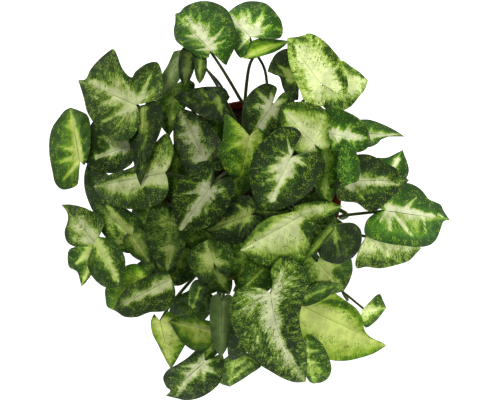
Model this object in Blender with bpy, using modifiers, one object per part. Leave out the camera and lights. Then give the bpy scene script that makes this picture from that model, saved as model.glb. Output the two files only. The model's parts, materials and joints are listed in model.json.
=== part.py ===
"""An arrowhead plant (Syngonium) in a nursery pot: pot, soil, and leafy shoots that stand in the soil.

Lengths in the tables are millimetres. The origin is on the table under the pot's axis, +Z is up.
A leaf's plan place is read from straight above, as an eye 1.4 m up sees it against the pot's rim:
X to the right and Y away from the front. What sits higher than the rim is drawn in towards the
eye's axis.

Each leaf has a line in the table. Its height isn't written there: the leaves settle one by one on
what lies below them, over a dome. Then each leaf gets a stalk, bent so that it clears the rest.
"""

import math
import random
from collections import namedtuple

import bmesh
import bpy
import numpy as np
from mathutils import Vector, noise
from mathutils.bvhtree import BVHTree

MM = 0.001

# Pot: a 12 cm round nursery pot of thin moulded plastic, with a band at the rim and holes in its floor
RIM_RADIUS = 60.0
POT_HEIGHT = 105.0
BASE_RADIUS = 42.0
WALL = 1.6
FLOOR = 2.4
BAND_HEIGHT = 9.0
BAND_STEP = 2.0
RIM_ROUND = 0.6
POT_SIDES = 32
DRAINS = 8
DRAIN_RADIUS = 4.0
DRAIN_CIRCLE = 33.0
DRAIN_SIDES = 12
DRAIN_DEPTH = 12.0

# Soil: a lumpy top 13 mm below the rim, with a plain hole for each cane
SOIL_TOP = 92.0
SOIL_GAP = 0.35
SOIL_RINGS = 3
SOIL_SIDES = 26
SOIL_ROUGHNESS = 1.1
LUMP_SCALE = 90.0
SOIL_BEVEL = 2.5
CANE_RADIUS = 3.6
HOLE_RADIUS = 4.35
HOLE_DEPTH = 40.0
CANE_BOTTOM = 72.0
CANE_TOP = 112.0
CANE_SIDES = 8

# The eye that the plan is read by
EYE = (-0.7, -5.9, 1405.0)

# The head of leaves: a dome that each leaf follows, before it settles on what lies below it.
# SWAY tips each leaf a few degrees its own way, and CLEARANCE is the least height between two blades
DOME_TOP = 193.0
DOME_FALL = 0.0038
STEEPEST = 0.72
SWAY = 6.0
CLEARANCE = 2.3

# Blade form, as shares of a leaf's length or half width
SLIM_EDGE = (
    (-0.28, 0.14),
    (-0.42, 0.42),
    (-0.32, 0.78),
    (-0.08, 0.98),
    (0.20, 1.00),
    (0.48, 0.80),
    (0.76, 0.38),
    (1.00, 0.00),
)
FULL_EDGE = (
    (-0.28, 0.14),
    (-0.42, 0.42),
    (-0.32, 0.76),
    (-0.04, 0.96),
    (0.28, 1.02),
    (0.60, 0.92),
    (0.86, 0.56),
    (1.00, 0.00),
)
LOBE_SHARE = 0.42
VEIN_SLANT = 0.70
VEIN_CURVE = 0.25
HOLLOW = 0.8
LOBE_DROOP = 0.3
TIP_HOOK = 0.9
WAVES = 11.0
BLADE_THICKNESS = 0.75
ROWS = 6
STRIPS = 2
SLIGHT = 5.0

# Stalks: each is tried with many seeded bends, until one clears the other shoots by STALK_GAP
STALK_SEGMENTS = 4
STALK_ROUNDNESS = 0
STALK_TRIES = 420
FIRST_TRIES = 12
STALK_GAP = 0.75
RANK_STEP = 1.6
FOOT_SHARE = 1.35
HEAD_SHARE = 0.9
NEARER = 0.965
RIM_HALF = 1.5

# Where each shoot stands in the soil

SHOOTS = {
    1: (-6, 38),
    2: (12, 36),
    3: (-24, 26),
    4: (-38, 8),
    5: (-22, -4),
    6: (-36, -20),
    7: (-18, -34),
    8: (-2, -18),
    9: (14, -38),
    10: (24, -18),
    11: (38, -4),
    12: (10, 2),
    13: (34, 22),
    14: (-6, 14),
}

Leaf = namedtuple(
    "Leaf", "name shoot at tip left right lobes full pitch roll fold droop wave bow via low"
)


def leaf(name, shoot, at, tip, left, right, lobes=(8, 8), full=0.6, pitch=0, roll=0, fold=11,
         droop=0.16, wave=1.2, bow=0, via=(), low=0):
    """One row of the table: plan places, half widths and lobe lengths in mm, tilts in degrees.

    at is where the stalk joins, lobes how far the two lobes reach back from there. full is 0 for a
    slim blade, 1 for a broad one. fold raises the halves beside the midrib, droop bends the blade
    down along it, wave lifts and drops its edge, and bow bends the midrib aside. via names plan
    places that the stalk passes, from the leaf to the cane. low is how far the leaf hangs under
    the dome.
    """
    return Leaf(name, shoot, at, tip, left, right, lobes, full, pitch, roll, fold, droop, wave,
                bow, via, low)


# The leaves from the lowest layer to the highest. left and right, as seen from the stalk towards the
# tip, are a half width for a plain leaf, or the plan places that its edge runs through, lobe to tip.
# The first rows are small dark leaves deep in the head, which show only in the gaps of the others
LEAVES = (
    leaf("A2", 3, (-50, 70), (-54, 36),
         ((-42, 74), (-37, 70), (-41, 60), (-47, 48)),
         ((-56, 73), (-62, 66), (-63, 55), (-60, 44)), low=20),
    leaf("E2", 6, (-58, -8), (-76, -24),
         ((-52, -12), (-52, -20), (-60, -25), (-69, -27)),
         ((-60, -2), (-68, -2), (-76, -8), (-79, -16)), low=20),
    leaf("G2", 7, (-42, -38), (-54, -62),
         ((-36, -39), (-34, -47), (-38, -56), (-46, -62)),
         ((-47, -34), (-54, -38), (-58, -47), (-58, -57)), low=22),
    leaf("K4", 7, (-30, -66), (-50, -92),
         ((-25, -69), (-26, -79), (-33, -87), (-42, -92)),
         ((-36, -62), (-42, -66), (-49, -70), (-54, -80)), low=24),
    leaf("N2", 6, (-56, -47), (-80, -54), 9, 7, (6, 6), low=18),
    leaf("Z2", 8, (8, -58), (-12, -66), 6, 7, (5, 5), low=14),
    leaf("E3", 5, (-48, 22), (-51, -10), 9, 9, low=28),
    leaf("N3", 3, (-21, 50), (-26, 30), 8, 8, (5, 5), low=34),
    leaf("M2", 14, (-4, 14), (-19, -6), 10, 10, (6, 6), low=34),
    leaf("R2", 11, (50, 29), (49, -14), 9, 9, (7, 7), low=30),
    leaf("W2", 11, (38, -12), (59, -13), 8, 8, (5, 5), low=24),
    leaf("R3", 12, (4, -13), (36, -15), 7, 7, (5, 5), low=26),
    leaf("J2", 5, (-27, -29), (-49, -33), 9, 8, (5, 5), low=24),
    leaf("B2", 8, (-4, -36), (-7, -68), 8, 8, (6, 6), low=24),
    leaf("C2", 10, (40, -20), (63, -24), 7, 6, (5, 5), low=22),
    leaf("A3", 10, (31, -39), (48, -53), 7, 7, (5, 5), low=18),
    leaf("L2", 8, (-20, -57), (-41, -68), 7, 7, (5, 5), low=14),
    leaf("S2", 7, (-24, -97), (-30, -112), 6, 7, (4, 4), low=6),
    leaf("J", 1, (-7, 87), (25, 99),
         ((-7, 92), (-1, 98), (7, 101), (17, 100)),
         ((-1, 87), (7, 89), (16, 92), (21, 95)), pitch=-4, fold=4),
    leaf("D", 4, (-96, -10), (-108, 18), 9, 12, (8, 8)),
    leaf("V", 13, (88, 10), (100, 27),
         ((80, 14), (76, 20), (83, 22), (89, 22), (94, 24)),
         ((94, 5), (101, 7), (104, 13), (103, 19), (101, 24)), roll=14),
    leaf("U", 13, (67, 39), (101, 36),
         ((69, 47), (78, 47), (87, 44), (95, 40)),
         ((72, 30), (78, 29), (83, 31), (86, 34), (92, 36)), roll=-20),
    leaf("Y", 10, (76, -30), (112, -38),
         ((77, -24), (88, -24), (100, -27), (108, -32)),
         ((72, -40), (69, -47), (70, -51), (76, -50), (85, -51), (95, -49), (104, -46),
          (109, -41))),
    leaf("YY", 10, (72, -79), (89, -77),
         ((76, -76), (84, -68), (87, -72)),
         ((73, -85), (76, -90), (83, -85)), via=((59, -66), (67, -75))),
    leaf("OO", 7, (-60, -86), (-53, -117),
         ((-55, -79), (-48, -84), (-44, -92), (-42, -98), (-46, -106), (-50, -113)),
         ((-64, -81), (-66, -86), (-65, -94), (-61, -102), (-57, -110)), pitch=8),
    leaf("RR", 8, (-9, -106), (-14, -129),
         ((-5, -106), (3, -110), (7, -115), (-1, -121), (-7, -125)),
         ((-14, -108), (-19, -112), (-24, -117), (-25, -123), (-20, -127))),
    leaf("NN", 6, (-70, -60), (-92, -78),
         ((-64, -62), (-62, -69), (-68, -76), (-78, -79), (-86, -80)),
         ((-68, -53), (-76, -48), (-84, -50), (-91, -56), (-96, -64), (-96, -71), (-95, -76))),
    leaf("EE", 6, (-79, -30), (-103, -8), 12, 12, (8, 8)),
    leaf("VV", 9, (32, -75), (89, -102),
         ((36, -69), (44, -65), (53, -66), (62, -72), (69, -77), (73, -83), (75, -92),
          (77, -102), (80, -105), (85, -104)),
         ((31, -80), (30, -88), (34, -97), (41, -105), (51, -111), (62, -112), (72, -110),
          (81, -107))),
    leaf("O2", 2, (48, 71), (77, 73),
         ((52, 83), (60, 86), (65, 83), (72, 78)),
         ((47, 66), (47, 57), (52, 53), (60, 53), (66, 56), (71, 62), (75, 67))),
    leaf("P", 2, (30, 73), (11, 79),
         ((31, 60), (25, 61), (21, 68), (19, 75), (16, 77)),
         ((32, 81), (30, 90), (24, 94), (17, 91), (13, 85))),
    leaf("C", 4, (-80, 30), (-108, 20),
         ((-76, 24), (-80, 17), (-90, 12), (-100, 13), (-106, 16)),
         ((-71, 38), (-78, 46), (-88, 48), (-98, 48), (-105, 45), (-107, 36), (-109, 27))),
    leaf("K1", 3, (-45, 93), (-58, 62),
         ((-40, 93), (-40, 86), (-45, 77), (-52, 67)),
         ((-51, 92), (-55, 83), (-59, 76), (-60, 68)), pitch=12, fold=-14),
    leaf("K2", 3, (-41, 90), (-44, 69), 5, 6, (5, 5), pitch=12, fold=-14,
         via=((-18, 66),)),
    leaf("K3", 1, (-33, 86), (-34, 71), 4, 4, (4, 4), pitch=12, fold=-14, via=((-20, 66),)),
    leaf("I", 1, (-1, 102), (-15, 118),
         ((-3, 90), (-7, 88), (-11, 93), (-14, 101), (-16, 110)),
         ((5, 102), (14, 101), (19, 101), (21, 105), (20, 112), (16, 118), (11, 123), (5, 125),
          (-3, 125), (-10, 122)), via=((4, 89), (12, 70))),
    leaf("S", 13, (48, 39), (79, 32),
         ((48, 54), (58, 54), (66, 51), (72, 47), (77, 40)),
         ((52, 28), (58, 25), (67, 25), (75, 27))),
    leaf("X", 11, (89, -13), (131, -19),
         ((80, -10), (83, -3), (90, 2), (98, 5), (105, 5), (112, 1), (117, -5), (121, -7),
          (125, -9), (127, -13)),
         ((81, -15), (76, -20), (75, -28), (81, -32), (92, -35), (101, -36), (109, -37),
          (117, -36), (122, -32), (125, -25), (127, -20)), via=((56, -17), (68, -17))),
    leaf("AA", 10, (44, -47), (61, -66),
         ((47, -40), (56, -39), (65, -43), (67, -51), (65, -59)),
         ((33, -48), (32, -57), (40, -64), (51, -68))),
    leaf("WW", 9, (36, -70), (58, -61), 6, 6, (5, 5)),
    leaf("XX", 9, (37, -95), (41, -127),
         ((40, -95), (47, -101), (51, -109), (53, -117), (51, -123), (47, -126)),
         ((34, -102), (34, -112), (35, -119), (38, -125))),
    leaf("FF", 6, (-77, -31), (-67, -47), 8, 8, (5, 5)),
    leaf("GG", 7, (-53, -19), (-55, -53), 11, 16, (13, 14)),
    leaf("ZZ", 8, (8, -51), (-11, -69), 13, 8, (5, 6)),
    leaf("KK", 8, (-24, -52), (-14, -68), 8, 8, (5, 5)),
    leaf("LL", 8, (-34, -64), (-39, -79), 6, 6, (5, 5)),
    leaf("MM", 6, (-53, -58), (-91, -78),
         ((-50, -66), (-51, -73), (-57, -79), (-67, -80), (-75, -83), (-83, -83), (-88, -80)),
         ((-55, -53), (-61, -54), (-68, -56), (-76, -60), (-83, -65), (-88, -72))),
    leaf("QQ", 7, (-31, -113), (-56, -135),
         ((-26, -110), (-19, -108), (-18, -116), (-20, -125), (-25, -131), (-33, -136),
          (-42, -138), (-48, -137)),
         ((-31, -106), (-36, -105), (-42, -110), (-48, -114), (-55, -118), (-58, -123),
          (-56, -129), (-52, -133))),
    leaf("PP", 7, (-26, -92), (-54, -86),
         ((-24, -99), (-30, -105), (-38, -105), (-45, -100), (-50, -93)),
         ((-26, -86), (-34, -84), (-43, -82), (-50, -83))),
    leaf("SS", 8, (-19, -73), (-20, -110), 8, 8, (5, 5), fold=-12),
    leaf("TT", 9, (-1, -90), (-14, -112), 8, 9, (5, 5)),
    leaf("L", 3, (-18, 57), (-51, 62),
         ((-14, 51), (-19, 46), (-28, 47), (-37, 52), (-45, 57)),
         ((-14, 62), (-18, 68), (-27, 69), (-36, 68), (-44, 66))),
    leaf("E", 4, (-57, 12), (-104, 3),
         ((-55, 6), (-55, -1), (-60, -8), (-68, -11), (-77, -12), (-86, -11), (-94, -8),
          (-100, -3)),
         ((-53, 18), (-51, 27), (-53, 35), (-56, 38), (-61, 34), (-68, 26), (-75, 18),
          (-83, 14), (-93, 11), (-100, 7))),
    leaf("G", 5, (-30, 19), (-47, 55), 15, 15, (9, 9)),
    leaf("F", 3, (-70, 57), (-73, 4),
         ((-67, 61), (-60, 57), (-58, 48), (-60, 39), (-65, 27), (-69, 14)),
         ((-76, 55), (-80, 44), (-80, 30), (-77, 17), (-75, 9)), pitch=8),
    leaf("B", 4, (-113, 20), (-119, 55),
         ((-115, 14), (-114, 7), (-116, 3), (-124, 1), (-129, 5), (-131, 13), (-133, 24),
          (-133, 34), (-131, 42), (-127, 48), (-123, 53)),
         ((-110, 17), (-107, 24), (-106, 31), (-106, 43), (-108, 50), (-113, 53))),
    leaf("A", 3, (-76, 57), (-114, 73),
         ((-73, 46), (-78, 36), (-88, 33), (-97, 38), (-103, 44), (-108, 52), (-110, 60),
          (-112, 67)),
         ((-71, 61), (-61, 61), (-58, 70), (-59, 79), (-62, 85), (-69, 84), (-76, 79),
          (-79, 75), (-85, 81), (-90, 93), (-94, 92), (-101, 86), (-106, 80), (-109, 74))),
    leaf("DD1", 6, (-103, -34), (-125, -9),
         ((-106, -36), (-114, -37), (-121, -34), (-123, -27), (-121, -20), (-121, -14)),
         ((-100, -27), (-97, -20), (-102, -15), (-110, -11), (-118, -9))),
    leaf("DD3", 6, (-104, -35), (-112, -63),
         ((-101, -39), (-101, -47), (-104, -53), (-108, -59)),
         ((-110, -36), (-119, -38), (-121, -43), (-120, -50), (-115, -53), (-113, -58))),
    leaf("DD2", 6, (-103, -34), (-87, -63),
         ((-100, -30), (-92, -32), (-86, -38), (-83, -46), (-84, -55)),
         ((-105, -39), (-108, -48), (-105, -56), (-99, -62), (-93, -64))),
    leaf("M", 12, (13, 55), (-1, 34),
         ((17, 65), (23, 65), (28, 58), (26, 47), (20, 40), (11, 36), (5, 34)),
         ((14, 61), (17, 68), (10, 71), (3, 68), (-2, 63), (-5, 56), (-5, 47), (-3, 39))),
    leaf("N", 12, (-1, 36), (-7, 9),
         ((5, 42), (9, 37), (10, 27), (7, 17), (1, 11)),
         ((-7, 42), (-14, 48), (-17, 51), (-18, 44), (-19, 34), (-21, 26), (-19, 17),
          (-14, 11))),
    leaf("H", 14, (-27, 93), (-50, 117),
         ((-28, 88), (-34, 88), (-40, 92), (-46, 96), (-50, 100), (-51, 106), (-50, 112)),
         ((-26, 84), (-19, 81), (-15, 86), (-11, 94), (-9, 101), (-11, 109), (-14, 117),
          (-19, 122), (-27, 125), (-35, 125), (-43, 122), (-47, 118)),
         via=((-19, 80), (-8, 62), (-4, 54))),
    leaf("JJ", 8, (-25, -46), (-29, -32), 16, 14, (13, 12), full=1),
    leaf("II", 5, (-1, -16), (-30, -26), 16, 14, (8, 8)),
    leaf("HH", 14, (-28, 1), (-47, -26), 17, 19, (15, 16)),
    leaf("O1", 2, (45, 72), (24, 101),
         ((48, 67), (49, 61), (47, 56), (41, 57), (35, 60), (32, 67), (28, 76), (25, 85),
          (24, 94)),
         ((52, 68), (57, 64), (62, 63), (64, 68), (63, 76), (60, 85), (54, 93), (47, 100),
          (39, 104), (32, 102))),
    leaf("Q", 13, (41, 32), (19, 55),
         ((44, 26), (39, 22), (30, 26), (24, 34), (20, 43)),
         ((47, 27), (52, 30), (51, 40), (50, 50), (47, 55), (39, 58), (31, 59), (24, 58))),
    leaf("W", 11, (63, 7), (104, 7),
         ((57, 15), (60, 22), (69, 24), (78, 24), (88, 19), (97, 14)),
         ((56, 1), (57, -5), (62, -7), (70, -8), (77, -13), (84, -12), (94, -3))),
    leaf("T", 11, (65, 5), (62, 34),
         ((61, 3), (57, 10), (57, 19), (59, 28)),
         ((71, 7), (72, 15), (70, 24), (66, 30))),
    leaf("CC", 12, (32, -16), (60, -10), 7, 6, (5, 5)),
    leaf("BB", 12, (32, -17), (-7, -39),
         ((39, -20), (46, -24), (47, -31), (44, -38), (38, -42), (30, -44), (26, -48),
          (18, -50), (7, -48), (-1, -44)),
         ((30, -13), (22, -15), (13, -17), (5, -22), (-1, -29), (-5, -34))),
    leaf("Z", 10, (53, -23), (67, -44),
         ((59, -22), (67, -21), (72, -25), (73, -32), (71, -39)),
         ((47, -27), (44, -35), (46, -44), (57, -48))),
    leaf("Z3", 10, (52, -25), (34, -47), 2.6, 2.6, (3, 3), fold=4, wave=0),
    leaf("R", 12, (26, 22), (9, -13),
         ((32, 22), (40, 26), (46, 24), (49, 17), (46, 9), (40, 1), (32, -6), (22, -11),
          (15, -13)),
         ((31, 26), (34, 32), (33, 38), (28, 42), (20, 42), (13, 38), (5, 30), (1, 22),
          (-1, 13), (0, 3), (2, -5), (5, -10))),
    leaf("UU", 9, (13, -68), (36, -126),
         ((15, -61), (13, -53), (17, -46), (24, -43), (32, -48), (36, -55), (37, -64),
          (34, -73), (32, -83), (33, -92), (36, -102), (37, -113)),
         ((7, -65), (-1, -63), (-9, -65), (-13, -72), (-14, -82), (-11, -92), (-7, -100),
          (-2, -107), (5, -114), (13, -119), (20, -123), (28, -126)), bow=-4.5),
)


def through(points, t):
    """Points at t in 0..1 of a smooth curve through the given ones."""
    pts = np.asarray(points, float)
    ext = np.vstack([2 * pts[0] - pts[1], pts, 2 * pts[-1] - pts[-2]])
    x = np.clip(np.asarray(t, float), 0, 1) * (len(pts) - 1)
    i = np.minimum(x.astype(int), len(pts) - 2)
    f = (x - i)[..., None]
    a, b, c, d = ext[i], ext[i + 1], ext[i + 2], ext[i + 3]
    return 0.5 * (2 * b + (c - a) * f + (2 * a - 5 * b + 4 * c - d) * f ** 2
                  + (3 * b - a - 3 * c + d) * f ** 3)


def dome(x, y):
    """Height that a leaf over this plan place has before it settles."""
    return DOME_TOP - DOME_FALL * (x * x + y * y)


def edge_points(lf, side):
    """One side's edge in the leaf's own axes, along and across, from the lobe's inner corner to the tip."""
    at, tip = np.array(lf.at, float), np.array(lf.tip, float)
    length = np.hypot(*(tip - at))
    ahead = (tip - at) / length
    across = np.array([-ahead[1], ahead[0]]) * (1 if side == 0 else -1)
    width = (lf.left, lf.right)[side]
    if isinstance(width, tuple):
        off = np.array(width, float) - at
        own = np.column_stack([off @ ahead, np.maximum(off @ across, 0.6)])
        return np.vstack([own, [length, 0]])
    form = np.array(SLIM_EDGE) * (1 - lf.full) + np.array(FULL_EDGE) * lf.full
    along = np.where(form[:, 0] < 0, form[:, 0] * lf.lobes[side] / LOBE_SHARE,
                     form[:, 0] * length)
    return np.column_stack([along, form[:, 1] * width])


def vein_roots(edges, length):
    """Where each row of the blade leaves the midrib: it only ever moves towards the tip."""
    t = np.linspace(0, 1, 81)
    roots = []
    for edge in edges:
        e = through(edge, t)
        roots.append(np.maximum(0, e[:, 0] - VEIN_SLANT * np.maximum(e[:, 1], 0)))
    mean = np.maximum.accumulate(sum(roots) / 2)
    return t, mean * length / max(mean[-1], 1e-6)


def blade(lf, z, tilt, t, s):
    """Points of a leaf's middle surface: t runs from sinus to tip along the edge, s across, -1 to 1."""
    at, tip = np.array(lf.at, float), np.array(lf.tip, float)
    length = np.hypot(*(tip - at))
    ahead = (tip - at) / length
    across = np.array([-ahead[1], ahead[0]])
    edges = [edge_points(lf, 0), edge_points(lf, 1)]
    halves = [e[:, 1].max() for e in edges]
    lobe = max(4.0, -min(e[:, 0].min() for e in edges))
    q = np.abs(s)
    is_left = s >= 0
    edge = np.where(is_left[..., None], through(edges[0], t), through(edges[1], t))
    half = np.where(is_left, *halves)
    root = np.interp(t, *vein_roots(edges, length))
    eu, ev = edge[..., 0], np.maximum(edge[..., 1], 0)
    u = root + (eu - root) * q - VEIN_CURVE * ev * q * (1 - q)
    v = ev * q * np.where(is_left, 1, -1)
    share = np.abs(v) / half
    bow = 4 * lf.bow * (u / length) * (1 - u / length)
    plan = at + u[..., None] * ahead + (v + bow * (1 - q * q))[..., None] * across
    middle = (at + tip) / 2
    slope = 2 * DOME_FALL * middle
    slope *= min(1.0, STEEPEST / max(np.hypot(*slope), 1e-6))
    h = -((plan - at) @ slope)
    seed = sum(ord(c) * k for k, c in enumerate(lf.name, 3))
    pitch = lf.pitch + tilt[0] + SWAY * math.sin(seed * 1.7)
    roll = lf.roll + tilt[1] + SWAY * math.cos(seed * 2.3)
    h = h - math.tan(math.radians(pitch)) * u
    h = h + math.tan(math.radians(roll)) * v
    h = h + math.tan(math.radians(lf.fold)) * half * (share - HOLLOW * share ** 2)
    h = h - lf.droop * np.maximum(u, 0) ** 2 / length
    h = h - LOBE_DROOP * np.minimum(u, 0) ** 2 / lobe
    h = h - TIP_HOOK * np.maximum(u / length - 0.86, 0) ** 2 * length
    h = h + lf.wave * share ** 2 * np.sin(t * WAVES + seed + np.where(is_left, 0, 2.1))
    zz = z + h
    draw_in = ((EYE[2] - zz) / (EYE[2] - POT_HEIGHT))[..., None]
    eye = np.array(EYE[:2])
    xy = eye + (plan - eye) * draw_in
    return np.concatenate([xy, zz[..., None]], axis=-1)


def blade_grid(rows, strips):
    """t and s of a blade's grid of points."""
    t = np.linspace(0, 1, rows + 1)
    s = np.linspace(-1, 1, 2 * strips + 1)
    return np.meshgrid(t, s, indexing="ij")


def grid_tree(points):
    """A search tree of a grid's triangles."""
    rows, cols = points.shape[:2]
    index = np.arange(rows * cols).reshape(rows, cols)
    a, b = index[:-1, :-1].ravel(), index[1:, :-1].ravel()
    c, d = index[1:, 1:].ravel(), index[:-1, 1:].ravel()
    faces = np.vstack([np.column_stack([a, b, c]), np.column_stack([a, c, d])])
    return points.reshape(-1, 3), faces


# What lies below a blade is looked for from the sky downwards
DOWN = Vector((0, 0, -1))
SKY = 900.0
# Tilts that a leaf tries, along and across, to come to rest lower
TILTS = ((0, 0), (-9, 0), (9, 0), (0, -9), (0, 9))
TILT_COST = 0.12


def raise_needed(points, stack, placed):
    """How far a blade must rise to clear all that is placed below it."""
    need = -1e9
    if stack is None:
        return need
    flat = points.reshape(-1, 3)
    for p in flat:
        hit = stack.ray_cast(Vector((p[0], p[1], SKY)), DOWN)[0]
        if hit is not None:
            need = max(need, hit.z + CLEARANCE - p[2])
    own = BVHTree.FromPolygons(*[a.tolist() for a in grid_tree(points)])
    low, high = flat.min(0), flat.max(0)
    inside = placed[(placed[:, 0] > low[0]) & (placed[:, 0] < high[0])
                    & (placed[:, 1] > low[1]) & (placed[:, 1] < high[1])]
    for p in inside:
        hit = own.ray_cast(Vector((p[0], p[1], SKY)), DOWN)[0]
        if hit is not None:
            need = max(need, p[2] + CLEARANCE - hit.z)
    return need


def settle():
    """Each leaf's height and tilt, worked out from the lowest layer to the highest."""
    t, s = blade_grid(12, 4)
    settled = {}
    verts, faces, placed = [], [], np.zeros((0, 3))
    count = 0
    stack = None
    for lf in LEAVES:
        middle = (np.array(lf.at) + np.array(lf.tip)) / 2
        floor = float(dome(*middle)) - lf.low
        best = None
        for tilt in TILTS:
            z = floor
            for _ in range(3):
                lift = raise_needed(blade(lf, z, tilt, t, s), stack, placed)
                z = max(floor, z + lift)
                if abs(lift) < 0.2:
                    break
            cost = float(blade(lf, z, tilt, t, s)[..., 2].mean()) + TILT_COST * sum(map(abs, tilt))
            if best is None or cost < best[0]:
                best = (cost, z, tilt)
            if z <= floor + 0.5:
                break
        settled[lf.name] = best[1:]
        points = blade(lf, best[1], best[2], t, s)
        more, tris = grid_tree(points)
        verts.append(more)
        faces.append(tris + count)
        count += len(more)
        placed = np.vstack([placed, more])
        stack = BVHTree.FromPolygons(np.vstack(verts).tolist(), np.vstack(faces).tolist())
    return settled


def stalk_radius(lf):
    """A larger leaf has a thicker stalk."""
    return 0.62 + 0.011 * min(math.dist(lf.at, lf.tip), 50)


def segments_gap(points, radius, others):
    """The least gap from the points to the stalks of other shoots."""
    a, b, r = others[:, :3], others[:, 3:6], others[:, 6]
    ab = b - a
    ap = points[:, None, :] - a[None]
    f = np.clip((ap * ab).sum(-1) / (ab * ab).sum(-1), 0, 1)
    away = np.linalg.norm(ap - f[..., None] * ab, axis=-1)
    return float((away - r - radius).min())


def shoot_trees(settled):
    """For each shoot, a search tree of all the blades that other shoots bear."""
    t, s = blade_grid(12, 4)
    surfaces = {lf.name: grid_tree(blade(lf, *settled[lf.name], t, s)) for lf in LEAVES}
    trees = {}
    for shoot in SHOOTS:
        verts, faces, count = [], [], 0
        for lf in LEAVES:
            if lf.shoot != shoot:
                v, f = surfaces[lf.name]
                verts.append(v)
                faces.append(f + count)
                count += len(v)
        trees[shoot] = BVHTree.FromPolygons(np.vstack(verts).tolist(), np.vstack(faces).tolist())
    return trees


def bend(rnd, wide, start, joint, ahead, via):
    """One seeded way from the cane to the leaf: the wider, the further it may stray."""
    out = joint[:2] - start[:2]
    turn = rnd.uniform(-1, 1) * math.pi * wide
    steep = rnd.uniform(0.3, 1.6)
    back = rnd.uniform(0.12, 0.45)
    rise = rnd.uniform(0.05, 0.6)
    side = np.array([rnd.gauss(0, 1), rnd.gauss(0, 1)]) * (2 + 16 * wide)
    f = np.linspace(0, 1, STALK_SEGMENTS + 1)[:, None]
    if via:
        mids = []
        for n, place in enumerate(via, 1):
            share = n / (len(via) + 1)
            level = start[2] + (joint[2] - start[2]) * share
            arch = rise * 40 * math.sin(share * math.pi)
            mids.append(np.array([*(place + side * 0.08), level + arch]))
        return through([start, *mids, joint], f[:, 0])
    flat = ahead[:2] / max(np.hypot(*ahead[:2]), 1e-6)
    come = np.array([flat[0] * math.cos(turn) - flat[1] * math.sin(turn),
                     flat[0] * math.sin(turn) + flat[1] * math.cos(turn), steep])
    come /= np.linalg.norm(come)
    span = np.linalg.norm(joint - start)
    p1 = start + np.array([*(out * 0.12 + side * 0.4), span * rise])
    p2 = joint - come * span * back
    p2[:2] += side * 0.3
    return ((1 - f) ** 3 * start + 3 * f * (1 - f) ** 2 * p1
            + 3 * f ** 2 * (1 - f) * p2 + f ** 3 * joint)


def stalk_clearance(path, radius, others, tree):
    """The least gap from a stalk to other stalks, to the pot's rim, the soil and other blades."""
    g = np.linspace(0, 1, 64)[:, None] * STALK_SEGMENTS
    i = np.minimum(g.astype(int), STALK_SEGMENTS - 1)
    probe = path[i[:, 0]] + (path[i[:, 0] + 1] - path[i[:, 0]]) * (g - i)
    gap = segments_gap(probe, radius, others)
    reach = np.hypot(probe[:, 0], probe[:, 1])
    wall = RIM_RADIUS - RIM_HALF
    above = probe[:, 2] - POT_HEIGHT
    to_rim = np.hypot(reach - wall, np.maximum(above, 0))
    gap = min(gap, float(to_rim.min()) - radius - RIM_HALF)
    to_soil = np.where(reach > RIM_RADIUS + 3, SKY, probe[:, 2] - SOIL_TOP)
    gap = min(gap, float(to_soil.min()) - radius)
    for p in probe:
        near = tree.find_nearest(Vector(p), radius + 4)
        if near[3] is not None:
            gap = min(gap, near[3] - radius - BLADE_THICKNESS / 2)
            if gap < -radius:
                break
    return gap


def route_stalks(settled):
    """Each leaf's stalk: the first of many seeded bends that clears the blades of other shoots."""
    trees = shoot_trees(settled)
    canes = {k: np.array([[*v, CANE_BOTTOM, *v, CANE_TOP + 2, CANE_RADIUS]], float)
             for k, v in SHOOTS.items()}
    routed = {k: [] for k in SHOOTS}
    routes = {}
    for lf in LEAVES:
        radius = stalk_radius(lf)
        joint, rib = blade(lf, *settled[lf.name], np.array([0.35, 0.75]), np.zeros(2))
        ahead = rib - joint
        ahead /= max(np.linalg.norm(ahead), 1e-6)
        others = [canes[k] for k in SHOOTS if k != lf.shoot]
        others += [np.array(r) for k, r in routed.items() if k != lf.shoot and r]
        others = np.vstack(others)
        rank = len(routed[lf.shoot]) // STALK_SEGMENTS
        start = np.array([*SHOOTS[lf.shoot], CANE_TOP - 3 - RANK_STEP * rank], float)
        out = joint[:2] - start[:2]
        start[:2] += out / max(np.hypot(*out), 1.0) * CANE_RADIUS * 0.4
        via = [np.array(EYE[:2]) + (np.array(place) - EYE[:2]) * NEARER for place in lf.via[::-1]]
        rnd = random.Random(sum(ord(c) * k for k, c in enumerate(lf.name, 7)))
        best = None
        for k in range(STALK_TRIES):
            path = bend(rnd, min(1.0, k / 120), start, joint, ahead, via)
            gap = stalk_clearance(path, radius, others, trees[lf.shoot])
            length = float(np.linalg.norm(np.diff(path, axis=0), axis=1).sum())
            score = min(gap, STALK_GAP) * 10 - length / np.linalg.norm(joint - start)
            if best is None or score > best[0]:
                best = (score, gap, path)
            if gap >= STALK_GAP and k >= FIRST_TRIES:
                break
        routes[lf.name] = (best[2], radius, best[1])
        routed[lf.shoot] += [[*a, *b, radius] for a, b in zip(best[2][:-1], best[2][1:])]
    return routes


def principled(name, colour, roughness):
    """A plain material of one colour."""
    material = bpy.data.materials.new(name)
    material.use_nodes = True
    shader = material.node_tree.nodes["Principled BSDF"]
    shader.inputs["Base Color"].default_value = (*colour, 1.0)
    shader.inputs["Roughness"].default_value = roughness
    return material


def new_object(name, mesh, collection):
    """An object of the mesh or curve, linked to the collection."""
    obj = bpy.data.objects.new(name, mesh)
    collection.objects.link(obj)
    return obj


def evaluated(obj):
    """A copy of the object's mesh with its modifiers applied."""
    deps = bpy.context.evaluated_depsgraph_get()
    deps.update()
    return bpy.data.meshes.new_from_object(obj.evaluated_get(deps))


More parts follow.
